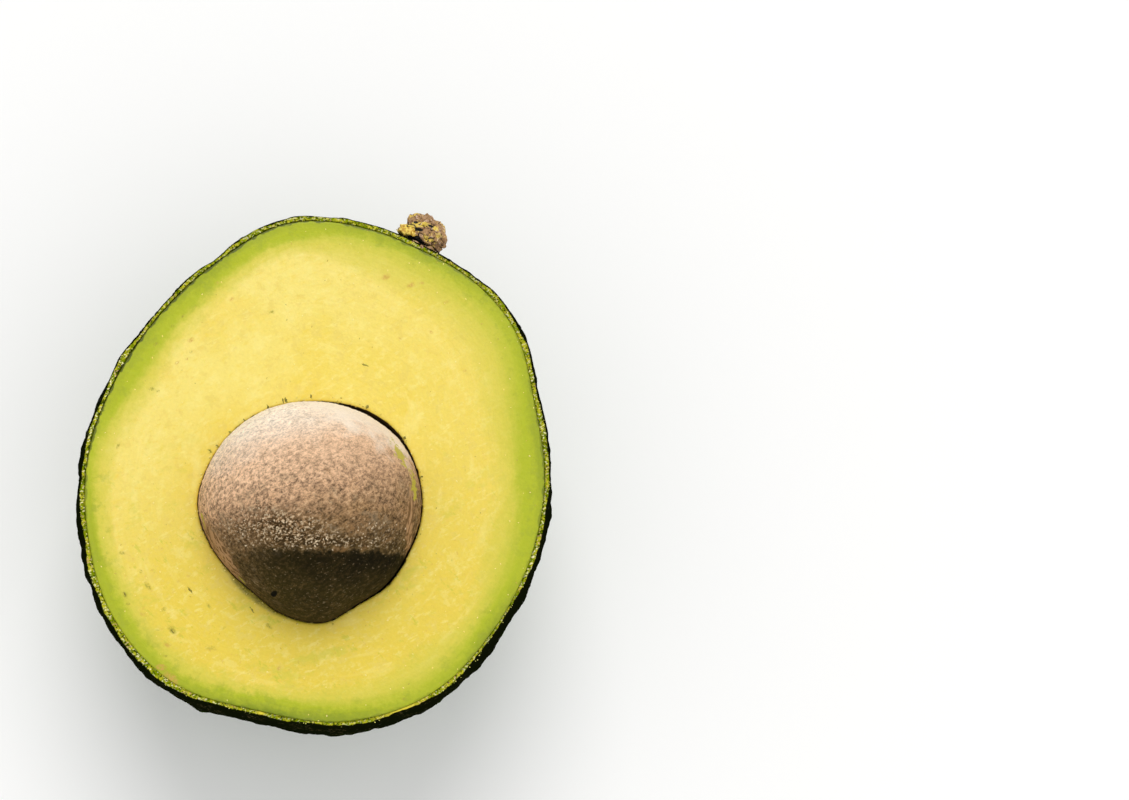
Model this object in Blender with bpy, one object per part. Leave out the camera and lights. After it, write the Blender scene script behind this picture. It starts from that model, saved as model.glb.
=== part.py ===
"""Half an avocado with its stone, as cut, lying on its rounded back with the cut face up.

Metres, +Z up. The origin is the middle of the small flat spot that the half rests on, and +Y points to the
stalk end. There are four pieces: the thin skin, the flesh with the stone's hollow in it, the whole stone, and
the stub of the stalk, which is rooted through the skin into the flesh.
"""

import math

import bmesh
import bpy
from mathutils import Matrix, Vector, noise

MM = 0.001

# Levels of the half, from the flat spot up
BELLY_Z = 38.0 * MM
CUT_Z = 45.0 * MM
FLAT_DEPTH = 1.1 * MM

# Outline of the fruit at its widest level, every 20 degrees anticlockwise from +X
WIDEST_RADII_MM = (
    39.7, 39.1, 39.0, 41.7, 42.2, 42.4, 42.6, 39.2, 37.4,
    37.3, 38.6, 40.1, 42.4, 43.5, 42.2, 43.3, 43.1, 41.0,
)
ROUND_RADIUS = 40.6 * MM
ROUND_OVAL = 2.0 * MM
ROUND_OVAL_ANGLE = math.radians(95)
STALK_DIMPLE = 0.5 * MM
STALK_DIMPLE_WIDTH = math.radians(9)

# Skin
SKIN_THICKNESS = 0.9 * MM
PIECE_GAP = 0.3 * MM
PEBBLE_HEIGHT = 0.5 * MM
PEBBLE_WIDTH = 5.2 * MM
FINE_PEBBLE_SHARE = 0.35
PEBBLE_FADE = 4.0 * MM
SMOOTH_ROUND_STALK = 4.0 * MM
STALK_FADE = 8.0 * MM

# Stone: its outline at the cut face, every 20 degrees anticlockwise from +X
STONE_CENTRE = Vector((1.8 * MM, -6.8 * MM, CUT_Z))
STONE_RADII_MM = (
    17.4, 18.1, 18.5, 18.6, 18.2, 17.9, 17.8, 17.9, 17.9,
    17.9, 18.1, 17.1, 16.3, 16.2, 17.5, 18.4, 17.2, 17.4,
)
STONE_ROUND_RADIUS = 17.7 * MM
STONE_TOP = 17.4 * MM
STONE_BOTTOM = 17.8 * MM
STONE_DIMPLE_HEIGHT = 0.18 * MM
STONE_DIMPLE_WIDTH = 7.0 * MM

# Hollow: it fits the stone, and stands a little off it on one side
HOLLOW_EXTRA = 0.7 * MM
HOLLOW_EXTRA_ANGLE = math.radians(75)
HOLLOW_EXTRA_WIDTH = math.radians(34)

# Stub of the stalk, along its own axis, which points out of the fruit
STALK_ANGLE = math.radians(88.6)
STALK_Z = CUT_Z - 4.0 * MM
STUB_PROFILE_MM = ((0.3, 3.7), (1.2, 4.0), (2.5, 3.75), (3.7, 3.2), (4.7, 2.4), (5.3, 1.4))
STUB_ROOT_RADIUS = 2.0 * MM
STUB_ROOT_TIP_RADIUS = 1.6 * MM
STUB_ROOT_DEPTH = 2.2 * MM
STUB_ROOT_TAPER = 1.3 * MM
STUB_TIP_RISE = 0.1 * MM
STUB_SIDES = 26
STUB_KNOB_HEIGHT = 0.45 * MM
STUB_KNOB_WIDTH = 1.7 * MM

# Fineness of the meshes, in rings of six-sided discs
SKIN_RINGS = 32
SKIN_FLAT_RINGS = 4
INNER_RINGS = 16
INNER_FLAT_RINGS = 2
HOLLOW_RINGS = 10
STONE_RINGS = 13
SOCKET_SIDES = 24

# Shading and joining
SHARP_ANGLE = math.radians(40)
WELD_DISTANCE = 0.001 * MM

# Finishes: base colour and roughness
SKIN_GREEN = ((0.09, 0.17, 0.02), 0.35)
FLESH_YELLOW = ((0.87, 0.72, 0.17), 0.45)
STONE_BROWN = ((0.42, 0.27, 0.17), 0.8)
STALK_BROWN = ((0.25, 0.15, 0.06), 0.8)
CUTTER_GREY = ((0.5, 0.5, 0.5), 0.5)


def clear_scene():
    """Removes every object, so that the part stands alone."""
    for item in list(bpy.data.objects):
        bpy.data.objects.remove(item, do_unlink=True)


def make_material(name, colour, roughness):
    """Makes a plain Principled material of one colour."""
    material = bpy.data.materials.new(name)
    material.use_nodes = True
    shader = material.node_tree.nodes["Principled BSDF"]
    shader.inputs["Base Color"].default_value = (*colour, 1.0)
    shader.inputs["Roughness"].default_value = roughness
    shader.inputs["Metallic"].default_value = 0.0
    return material


def add_object(name, mesh_builder, material):
    """Turns a filled bmesh into a named, smooth-shaded object with faces pointing out."""
    bmesh.ops.recalc_face_normals(mesh_builder, faces=mesh_builder.faces)
    mesh = bpy.data.meshes.new(name)
    mesh_builder.to_mesh(mesh)
    mesh_builder.free()
    mesh.shade_smooth()
    mesh.set_sharp_from_angle(angle=SHARP_ANGLE)
    mesh.materials.append(material)
    item = bpy.data.objects.new(name, mesh)
    bpy.context.scene.collection.objects.link(item)
    return item


def smooth_radius(radii_mm, angle):
    """Radius at an angle of a closed outline, by a smooth curve through its even steps."""
    count = len(radii_mm)
    place = (angle / math.tau * count) % count
    index = int(place)
    t = place - index
    before, start, end, after = (radii_mm[(index + step) % count] for step in (-1, 0, 1, 2))
    curve = start + 0.5 * t * (
        end - before
        + t * (2 * before - 5 * start + 4 * end - after + t * (3 * (start - end) + after - before))
    )
    return curve * MM


def hump(angle, centre, width):
    """A smooth hump round an angle: 1 at its centre, near 0 past twice its width."""
    off = (angle - centre + math.pi) % math.tau - math.pi
    return math.exp(-((off / width) ** 2))


def body_radius(angle, slope):
    """Radius of the fruit: its own outline at the belly, fading to a plain oval down its back."""
    dimple = STALK_DIMPLE * hump(angle, STALK_ANGLE, STALK_DIMPLE_WIDTH)
    own = smooth_radius(WIDEST_RADII_MM, angle) - dimple
    oval = ROUND_RADIUS + ROUND_OVAL * math.cos(2 * (angle - ROUND_OVAL_ANGLE))
    return oval + (own - oval) * math.sin(slope) ** 2


def body_point(angle, slope, inset):
    """A point of the fruit's round body: slope 0 is its lowest point, 90 degrees its belly."""
    radius = (body_radius(angle, slope) - inset) * math.sin(slope)
    depth = (BELLY_Z + FLAT_DEPTH - inset) * math.cos(slope)
    return Vector((radius * math.cos(angle), radius * math.sin(angle), BELLY_Z - depth))


def body_place(inset, flat_share):
    """Gives the rule that maps a disc to the body's underside, flat in the middle and cut at the top."""
    height = BELLY_Z + FLAT_DEPTH - inset
    flat_slope = math.acos((BELLY_Z - inset) / height)
    cut_slope = math.acos((BELLY_Z - CUT_Z) / height)

    def place(share, angle):
        if share <= flat_share:
            edge = body_point(angle, flat_slope, inset)
            reach = share / flat_share
            return Vector((edge.x * reach, edge.y * reach, inset))
        climb = (share - flat_share) / (1 - flat_share)
        return body_point(angle, flat_slope + (cut_slope - flat_slope) * climb, inset)

    return place


def pebbled(place):
    """Raises soft pebbles on a body rule, fading out at the flat spot and round the stalk."""
    stalk = stalk_matrix().translation

    def raised(share, angle):
        point = place(share, angle)
        if point.z <= 0:
            return point
        outward = (point - Vector((0, 0, BELLY_Z))).normalized()
        height = noise.noise(point / PEBBLE_WIDTH)
        height += FINE_PEBBLE_SHARE * noise.noise(point * 2 / PEBBLE_WIDTH)
        fade = min(1.0, point.z / PEBBLE_FADE)
        fade *= min(1.0, max(0.0, ((point - stalk).length - SMOOTH_ROUND_STALK) / STALK_FADE))
        lift = outward * PEBBLE_HEIGHT * height * fade
        if share == 1:
            lift.z = 0
        return point + lift

    return raised


def add_disc(mesh_builder, rings, place, first_ring=1):
    """Adds a disc of six-sided rings, shaped by a rule, and returns its outermost ring.

    The middle, up to the first ring, is a single flat face where first_ring is over 1.
    """
    def ring_of(number):
        count = 6 * number
        return [
            mesh_builder.verts.new(place(number / rings, math.tau * index / count))
            for index in range(count)
        ]

    inner = ring_of(first_ring)
    if first_ring == 1:
        middle = mesh_builder.verts.new(place(0, 0))
        for index in range(6):
            mesh_builder.faces.new((middle, inner[index], inner[(index + 1) % 6]))
    else:
        mesh_builder.faces.new(inner)
    for number in range(first_ring + 1, rings + 1):
        outer = ring_of(number)
        for sector in range(6):
            for step in range(number):
                start = sector * number + step
                below = sector * (number - 1) + step
                tip = inner[below % len(inner)]
                mesh_builder.faces.new((outer[start], outer[(start + 1) % len(outer)], tip))
                if step < number - 1:
                    following = inner[(below + 1) % len(inner)]
                    mesh_builder.faces.new((outer[(start + 1) % len(outer)], following, tip))
        inner = outer
    return inner


def join_rings(mesh_builder, outer, inner):
    """Closes the band between two rings with triangles, by stepping round them together."""
    out, into = 0, 0
    while out < len(outer) or into < len(inner):
        a = outer[out % len(outer)]
        b = inner[into % len(inner)]
        if (out + 1) * len(inner) <= (into + 1) * len(outer):
            out += 1
            mesh_builder.faces.new((a, outer[out % len(outer)], b))
        else:
            into += 1
            mesh_builder.faces.new((a, inner[into % len(inner)], b))


def stone_place(top, growth=0.0, extra=0.0):
    """Gives the rule for half of the stone, or of its hollow when it grows by a gap."""
    height = STONE_TOP if top else -STONE_BOTTOM
    height += math.copysign(growth, height)

    def place(share, angle):
        slope = share * math.pi / 2
        own = smooth_radius(STONE_RADII_MM, angle)
        reach = STONE_ROUND_RADIUS + (own - STONE_ROUND_RADIUS) * math.sin(slope) ** 2 + growth
        reach += extra * hump(angle, HOLLOW_EXTRA_ANGLE, HOLLOW_EXTRA_WIDTH)
        offset = Vector((math.cos(angle), math.sin(angle), 0)) * reach * math.sin(slope)
        offset.z = height * math.cos(slope)
        if not growth and share < 1:
            offset *= 1 + STONE_DIMPLE_HEIGHT / reach * noise.noise(offset / STONE_DIMPLE_WIDTH)
        return STONE_CENTRE + offset

    return place


def stalk_matrix():
    """The stalk's place: its own +Z points out of the fruit."""
    outward = Vector((math.cos(STALK_ANGLE), math.sin(STALK_ANGLE), 0))
    turn = outward.to_track_quat("Z", "Y").to_matrix().to_4x4()
    foot = outward * body_radius(STALK_ANGLE, math.pi / 2)
    return Matrix.Translation(foot + Vector((0, 0, STALK_Z))) @ turn


def socket_cutter():
    """The round hole that the stalk's root goes through, a hidden cutter."""
    builder = bmesh.new()
    bmesh.ops.create_cone(
        builder,
        cap_ends=True,
        segments=SOCKET_SIDES,
        radius1=STUB_ROOT_RADIUS + PIECE_GAP,
        radius2=STUB_ROOT_RADIUS + PIECE_GAP,
        depth=2 * (STUB_ROOT_DEPTH + PIECE_GAP),
        matrix=stalk_matrix(),
    )
    cutter = add_object("socket_cutter", builder, make_material("cutter", *CUTTER_GREY))
    cutter.hide_render = True
    cutter.display_type = "WIRE"
    return cutter


def cut_socket(item, cutter):
    """Cuts the root's hole from a piece."""
    cut = item.modifiers.new("root_hole", "BOOLEAN")
    cut.operation = "DIFFERENCE"
    cut.solver = "EXACT"
    cut.object = cutter


def build_skin(cutter):
    """The peel: an outer pebbled surface, an inner smooth one and the cut edge between them."""
    builder = bmesh.new()
    outer_rule = pebbled(body_place(0.0, SKIN_FLAT_RINGS / SKIN_RINGS))
    inner_rule = body_place(SKIN_THICKNESS, INNER_FLAT_RINGS / INNER_RINGS)
    outer = add_disc(builder, SKIN_RINGS, outer_rule, SKIN_FLAT_RINGS)
    inner = add_disc(builder, INNER_RINGS, inner_rule, INNER_FLAT_RINGS)
    join_rings(builder, outer, inner)
    skin = add_object("skin", builder, make_material("skin_green", *SKIN_GREEN))
    cut_socket(skin, cutter)
    return skin


def build_flesh(cutter):
    """The pulp: its round back, the flat cut face and the stone's hollow."""
    builder = bmesh.new()
    back_rule = body_place(SKIN_THICKNESS + PIECE_GAP, INNER_FLAT_RINGS / INNER_RINGS)
    back = add_disc(builder, INNER_RINGS, back_rule, INNER_FLAT_RINGS)
    hollow = add_disc(builder, HOLLOW_RINGS, stone_place(False, PIECE_GAP, HOLLOW_EXTRA))
    join_rings(builder, back, hollow)
    flesh = add_object("flesh", builder, make_material("flesh_yellow", *FLESH_YELLOW))
    cut_socket(flesh, cutter)
    return flesh


def build_stone():
    """The whole seed, its lower half in the hollow and its upper half above the cut."""
    builder = bmesh.new()
    add_disc(builder, STONE_RINGS, stone_place(True))
    add_disc(builder, STONE_RINGS, stone_place(False))
    bmesh.ops.remove_doubles(builder, verts=builder.verts, dist=WELD_DISTANCE)
    return add_object("stone", builder, make_material("stone_brown", *STONE_BROWN))


def build_stem_stub():
    """The knobbly remnant of the stalk: a root through the skin and a blunt head outside it."""
    builder = bmesh.new()
    head = [(height * MM, radius * MM) for height, radius in STUB_PROFILE_MM]
    head_foot, head_top = head[0][0], head[-1][0]
    rings = [
        (-STUB_ROOT_DEPTH, STUB_ROOT_TIP_RADIUS),
        (STUB_ROOT_TAPER - STUB_ROOT_DEPTH, STUB_ROOT_RADIUS),
        (head_foot, STUB_ROOT_RADIUS),
        *head,
    ]
    place = stalk_matrix()
    previous = None
    for height, radius in rings:
        ring = []
        for index in range(STUB_SIDES):
            angle = math.tau * index / STUB_SIDES
            spot = Vector((radius * math.cos(angle), radius * math.sin(angle), height))
            if height > head_foot:
                spot *= 1 + STUB_KNOB_HEIGHT / radius * noise.noise(spot / STUB_KNOB_WIDTH)
            ring.append(builder.verts.new(place @ spot))
        if previous is None:
            builder.faces.new(ring)
        else:
            join_rings(builder, previous, ring)
        previous = ring
    tip = builder.verts.new(place @ Vector((0, 0, head_top + STUB_TIP_RISE)))
    for index in range(STUB_SIDES):
        builder.faces.new((previous[index], previous[(index + 1) % STUB_SIDES], tip))
    return add_object("stem_stub", builder, make_material("stalk_brown", *STALK_BROWN))


def main():
    """Builds the four pieces of the half."""
    clear_scene()
    cutter = socket_cutter()
    build_skin(cutter)
    build_flesh(cutter)
    build_stone()
    build_stem_stub()


main()
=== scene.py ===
"""The looks of half an avocado with its stone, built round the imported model.

The half lies on its rounded back with the cut face up. The skin, the flesh, the stone and the stub of the
stalk replace the plain solids of the same shape, and keep their outlines, levels and places.
"""

import logging
import math
from collections.abc import Callable, Iterable
from dataclasses import dataclass, field
from enum import Enum
from typing import Any

import bmesh
import bpy
import numpy as np
from mathutils import Matrix, Vector, noise


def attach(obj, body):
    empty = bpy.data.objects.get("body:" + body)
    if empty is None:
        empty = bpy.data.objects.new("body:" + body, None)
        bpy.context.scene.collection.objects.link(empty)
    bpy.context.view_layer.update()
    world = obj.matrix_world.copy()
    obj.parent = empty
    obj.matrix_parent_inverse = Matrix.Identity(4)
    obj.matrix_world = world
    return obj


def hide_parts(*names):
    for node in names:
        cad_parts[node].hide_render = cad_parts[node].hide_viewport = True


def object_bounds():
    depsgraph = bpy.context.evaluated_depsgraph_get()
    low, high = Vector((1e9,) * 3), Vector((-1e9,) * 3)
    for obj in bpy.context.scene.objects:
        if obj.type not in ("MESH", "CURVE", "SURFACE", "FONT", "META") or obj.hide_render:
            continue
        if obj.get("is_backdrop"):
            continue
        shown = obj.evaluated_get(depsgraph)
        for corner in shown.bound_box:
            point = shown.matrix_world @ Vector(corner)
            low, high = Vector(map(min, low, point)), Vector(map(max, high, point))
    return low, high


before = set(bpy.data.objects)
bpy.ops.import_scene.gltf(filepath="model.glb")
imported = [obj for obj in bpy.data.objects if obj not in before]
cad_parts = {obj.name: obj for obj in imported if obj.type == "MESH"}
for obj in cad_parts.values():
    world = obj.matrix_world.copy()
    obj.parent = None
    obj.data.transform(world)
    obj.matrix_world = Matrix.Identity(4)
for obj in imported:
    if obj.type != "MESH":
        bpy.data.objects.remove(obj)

CAD_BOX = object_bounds()
BODY = "root"
MM = 0.001
USUAL_RADIUS = 30 * MM
UP = Vector((0.0, 0.0, 1.0))
GRIT_DRAWN_OUT = 1.35
LUMP_RINGS = 9
LUMP_SIDES = 10
LUMP_GRAIN = 0.6
LUMP_BLUNTNESS = 0.7
STAIN_TAIL = 0.08
TAN_SLIMNESS = 0.6
OLIVE_SLIMNESS = 0.45
THREAD_ROUGHNESS = 1.6
SCRAP_ROUGHNESS = 1.8
RAGGED_SHIFT = Vector((5.0, 0.0, 0.0))
CRACK_SHIFT = Vector((3.0, 7.0, 1.0))
SMALL_DOME_RINGS = 5
SMALL_TUBE_SIDES = 6

# Sockets that share their name with another one of the same node, by number
MIX_SHARE, MIX_LOW, MIX_HIGH, MIX_RESULT = 0, 6, 7, 2
RANDOM_LEAST, RANDOM_MOST, RANDOM_SEED, RANDOM_RESULT = 2, 3, 8, 1

LOG = logging.getLogger("avocado")

PlaceRule = Callable[[float, float], Vector]
Colour = tuple[float, float, float]


class Mark(str, Enum):
    """Names of the numbers that a mesh carries at its points for its finish."""

    DEPTH = "depth_mm"
    SOLID = "solid_mm"
    HAZE = "haze_mm"
    MOSS = "moss"
    OLIVE = "olive"
    TAN = "tan"
    CUT = "cut"
    LIP = "lip"
    RIND = "rind"
    BLACK = "black_share"
    LINE = "inner_line"
    PALE = "paleness"
    BARE = "bare"
    RELIEF = "relief"
    OUTSIDE = "outside"
    CRUMBLY = "crumbly"
    CRUST = "crust"
    # On the stone, the seed coat's remnants; on the flesh, painted shade along the hollow's lip.
    SEED_COAT_AND_LIP_SHADE = "coat"
    SMEAR = "smear"
    SPOT = "spot"
    CREVICE = "crevice"


class StoneSide(Enum):
    """The two halves of the stone, above and below the cut face."""

    TOP = 1
    BOTTOM = -1


def hump(value: float, centre: float, width: float) -> float:
    """A smooth hump: 1 at its centre, near 0 past twice its width."""
    return math.exp(-(((value - centre) / width) ** 2))


def angle_hump(angle: float, centre: float, width: float) -> float:
    """A smooth hump round an angle, the short way round the circle."""
    return hump((angle - centre + math.pi) % math.tau - math.pi, 0.0, width)


def linear(red: int, green: int, blue: int) -> Colour:
    """Turns a colour of the screen, 0 to 255 a channel, into the linear light that a shader takes.

    Args:
        red: the red channel.
        green: the green channel.
        blue: the blue channel.

    Returns:
        The three channels in linear light.
    """
    def channel(value: int) -> float:
        """One channel in linear light."""
        share = value / 255
        return share / 12.92 if share <= 0.04045 else ((share + 0.055) / 1.055) ** 2.4

    return channel(red), channel(green), channel(blue)


@dataclass(frozen=True)
class Outline:
    """A closed outline: a number, such as a radius in millimetres, at even steps anticlockwise from +X."""

    steps: tuple[float, ...]

    def value(self, angle: float) -> float:
        """The number at an angle, by a smooth curve through the steps.

        Args:
            angle: angle from +X, in radians.

        Returns:
            The number, in the units of the steps.
        """
        count = len(self.steps)
        spot = (angle / math.tau * count) % count
        index = int(spot)
        t = spot - index
        before, start, end, after = (self.steps[(index + step) % count] for step in (-1, 0, 1, 2))
        bend = 2 * before - 5 * start + 4 * end - after + t * (3 * (start - end) + after - before)
        return start + 0.5 * t * (end - before + t * bend)

    def radius(self, angle: float) -> float:
        """The radius in metres at an angle, where the steps are in millimetres."""
        return self.value(angle) * MM


@dataclass(frozen=True)
class FruitForm:
    """The round body of the half: its levels, its outline at the belly and the oval of its back."""

    belly_z: float = 38.0 * MM
    cut_z: float = 45.0 * MM
    flat_depth: float = 1.1 * MM
    belly: Outline = Outline((
        39.7, 39.1, 39.0, 41.7, 42.2, 42.4, 42.6, 39.2, 37.4,
        37.3, 38.6, 40.1, 42.4, 43.5, 42.2, 43.3, 43.1, 41.0,
    ))
    round_radius: float = 40.6 * MM
    round_oval: float = 2.0 * MM
    round_oval_angle: float = math.radians(95)
    stalk_angle: float = math.radians(88.6)
    stalk_dimple: float = 0.5 * MM
    stalk_dimple_width: float = math.radians(9)
    skin_thickness: float = 0.9 * MM

    @property
    def middle(self) -> Vector:
        """The middle of the fruit's widest level."""
        return Vector((0.0, 0.0, self.belly_z))

    def radius(self, angle: float, slope: float) -> float:
        """Radius at an angle: the belly's own outline, fading to a plain oval down the back.

        Args:
            angle: angle from +X, in radians.
            slope: 0 at the lowest point, 90 degrees at the belly.

        Returns:
            The radius in metres.
        """
        own = self.belly.radius(angle)
        own -= self.stalk_dimple * angle_hump(angle, self.stalk_angle, self.stalk_dimple_width)
        oval = self.round_radius + self.round_oval * math.cos(2 * (angle - self.round_oval_angle))
        return oval + (own - oval) * math.sin(slope) ** 2

    def point(self, angle: float, slope: float, inset: float) -> Vector:
        """A point of the body, an inset deep: slope 0 is its lowest point, 90 degrees its belly.

        Args:
            angle: angle from +X, in radians.
            slope: how far up the back the point lies, in radians.
            inset: depth under the outer surface.

        Returns:
            The point.
        """
        reach = (self.radius(angle, slope) - inset) * math.sin(slope)
        depth = (self.belly_z + self.flat_depth - inset) * math.cos(slope)
        return Vector((reach * math.cos(angle), reach * math.sin(angle), self.belly_z - depth))

    def slope_at(self, height: float, inset: float) -> float:
        """The slope at which the body, an inset deep, crosses a height."""
        return math.acos((self.belly_z - height) / (self.belly_z + self.flat_depth - inset))

    def cut_radius(self, angle: float) -> float:
        """Radius of the flesh at the cut face, just inside the rind.

        Args:
            angle: angle from +X, in radians.

        Returns:
            The radius in metres.
        """
        inset = self.skin_thickness
        slope = self.slope_at(self.cut_z, inset)
        return (self.radius(angle, slope) - inset) * math.sin(slope)

    def rule(self, inset: float, flat_share: float, top: float) -> PlaceRule:
        """The rule that maps a disc to the body's underside.

        Args:
            inset: depth under the outer surface.
            flat_share: share of the disc that makes the flat spot.
            top: height at which the surface ends.

        Returns:
            A rule from a share of the disc's reach and an angle to a point.
        """
        flat_slope = self.slope_at(inset, inset)
        top_slope = self.slope_at(top, inset)

        def place(share: float, angle: float) -> Vector:
            """The point of the underside for a spot of the disc.

            Args:
                share: share of the disc's reach.
                angle: angle from +X, in radians.

            Returns:
                The point.
            """
            if share <= flat_share:
                edge = self.point(angle, flat_slope, inset)
                reach = share / flat_share
                return Vector((edge.x * reach, edge.y * reach, inset))
            climb = (share - flat_share) / (1 - flat_share)
            return self.point(angle, flat_slope + (top_slope - flat_slope) * climb, inset)

        return place


@dataclass(frozen=True)
class StoneForm:
    """The stone: its middle, its outline at the cut face and its heights."""

    centre: Vector = field(default_factory=lambda: Vector((1.8, -6.8, 45.0)) * MM)
    girth: Outline = Outline((
        17.4, 18.1, 18.5, 18.6, 18.2, 17.9, 17.8, 17.9, 17.9,
        17.9, 18.1, 17.1, 16.3, 16.2, 17.5, 18.4, 17.2, 17.4,
    ))
    round_radius: float = 17.7 * MM
    top: float = 17.4 * MM
    bottom: float = 17.8 * MM
    hollow_gap: Outline = Outline((
        0.3, 0.25, 0.22, 0.22, 0.22, 0.2, 0.2, 0.2, 0.18,
        0.18, 0.16, 0.13, 0.08, 0.08, 0.08, 0.1, 0.2, 0.34,
    ))
    hollow_extra: float = 0.72 * MM
    hollow_extra_angle: float = math.radians(77)
    hollow_extra_width: float = math.radians(24)

    def girth_radius(self, angle: float, slope: float) -> float:
        """Radius at an angle: its own outline at the cut, fading to a circle up and down."""
        own = self.girth.radius(angle)
        return self.round_radius + (own - self.round_radius) * math.sin(slope) ** 2

    def hollow_reach(self, angle: float, share: float) -> float:
        """How far the hollow stands off the stone, at an angle and a share of the way up to the cut."""
        extra = angle_hump(angle, self.hollow_extra_angle, self.hollow_extra_width)
        return self.hollow_gap.radius(angle) + self.hollow_extra * extra * share

    def point(self, side: StoneSide, slope: float, angle: float, growth: float = 0.0) -> Vector:
        """A point of the stone, or of a surface a growth outside it.

        Args:
            side: the half above or below the cut face.
            slope: 0 at the half's own pole, 90 degrees at the cut face.
            angle: angle from +X.
            growth: distance outside the stone.

        Returns:
            The point, in the frame of the whole model.
        """
        height = self.top if side is StoneSide.TOP else self.bottom
        reach = (self.girth_radius(angle, slope) + growth) * math.sin(slope)
        rise = side.value * (height + growth) * math.cos(slope)
        return self.centre + Vector((reach * math.cos(angle), reach * math.sin(angle), rise))


class Draft:
    """A mesh in the making: points, faces and the rings that later faces join."""

    def __init__(self) -> None:
        """Starts with an empty mesh."""
        self.points: list[Vector] = []
        self.faces: list[tuple[int, ...]] = []

    def ring(self, spots: Iterable[Vector]) -> list[int]:
        """Adds points.

        Args:
            spots: the places of the points, in order.

        Returns:
            The numbers of the points.
        """
        start = len(self.points)
        self.points.extend(spots)
        return list(range(start, len(self.points)))

    def disc(self, rings: int, rule: PlaceRule) -> list[int]:
        """Adds a disc of six-sided rings.

        Args:
            rings: number of rings from the middle to the edge.
            rule: gives the point at a share of the reach and an angle.

        Returns:
            The numbers of the points on its edge.
        """
        middle = self.ring([rule(0.0, 0.0)])[0]
        inner: list[int] = []
        for number in range(1, rings + 1):
            count = 6 * number
            outer = self.ring(rule(number / rings, math.tau * index / count) for index in range(count))
            for sector in range(6):
                for step in range(number):
                    start = outer[sector * number + step]
                    after = outer[(sector * number + step + 1) % count]
                    below = sector * (number - 1) + step
                    tip = inner[below % len(inner)] if inner else middle
                    self.faces.append((start, after, tip))
                    if step < number - 1:
                        self.faces.append((after, inner[(below + 1) % len(inner)], tip))
            inner = outer
        return inner

    def band(self, first: list[int], second: list[int]) -> None:
        """Closes the band between two rings of as many points with quads.

        Args:
            first: the numbers of one ring's points.
            second: those of the other ring.
        """
        count = len(first)
        for index in range(count):
            after = (index + 1) % count
            self.faces.append((first[index], first[after], second[after], second[index]))

    def join(self, outer: list[int], inner: list[int]) -> None:
        """Closes the band between two rings of unlike counts with triangles.

        Args:
            outer: the numbers of one ring's points.
            inner: those of the other ring.
        """
        out, into = 0, 0
        while out < len(outer) or into < len(inner):
            a, b = outer[out % len(outer)], inner[into % len(inner)]
            if (out + 1) * len(inner) <= (into + 1) * len(outer):
                out += 1
                self.faces.append((a, outer[out % len(outer)], b))
            else:
                into += 1
                self.faces.append((a, inner[into % len(inner)], b))

    def cap(self, edge: list[int], tip: Vector) -> None:
        """Closes a ring with triangles to one point.

        Args:
            edge: the numbers of the ring's points.
            tip: the place of the one point.
        """
        top = self.ring([tip])[0]
        for index, start in enumerate(edge):
            self.faces.append((start, edge[(index + 1) % len(edge)], top))

    def finish(
        self, name: str, marks: dict[Mark, Callable[[Vector], float]] | None = None
    ) -> bpy.types.Object:
        """Makes the mesh an object at the origin, faces outwards, shaded smooth.

        Args:
            name: the piece's name.
            marks: for each named number, the rule that gives it at a point.

        Returns:
            The linked object, still with no material.
        """
        mesh = bpy.data.meshes.new(name)
        mesh.from_pydata(self.points, [], self.faces)
        tidy = bmesh.new()
        tidy.from_mesh(mesh)
        bmesh.ops.recalc_face_normals(tidy, faces=tidy.faces)
        tidy.to_mesh(mesh)
        tidy.free()
        mesh.shade_smooth()
        for mark, rule in (marks or {}).items():
            layer = mesh.attributes.new(mark.value, "FLOAT", "POINT")
            layer.data.foreach_set("value", [rule(vertex.co) for vertex in mesh.vertices])
        piece = bpy.data.objects.new(name, mesh)
        bpy.context.scene.collection.objects.link(piece)
        return piece


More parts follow.
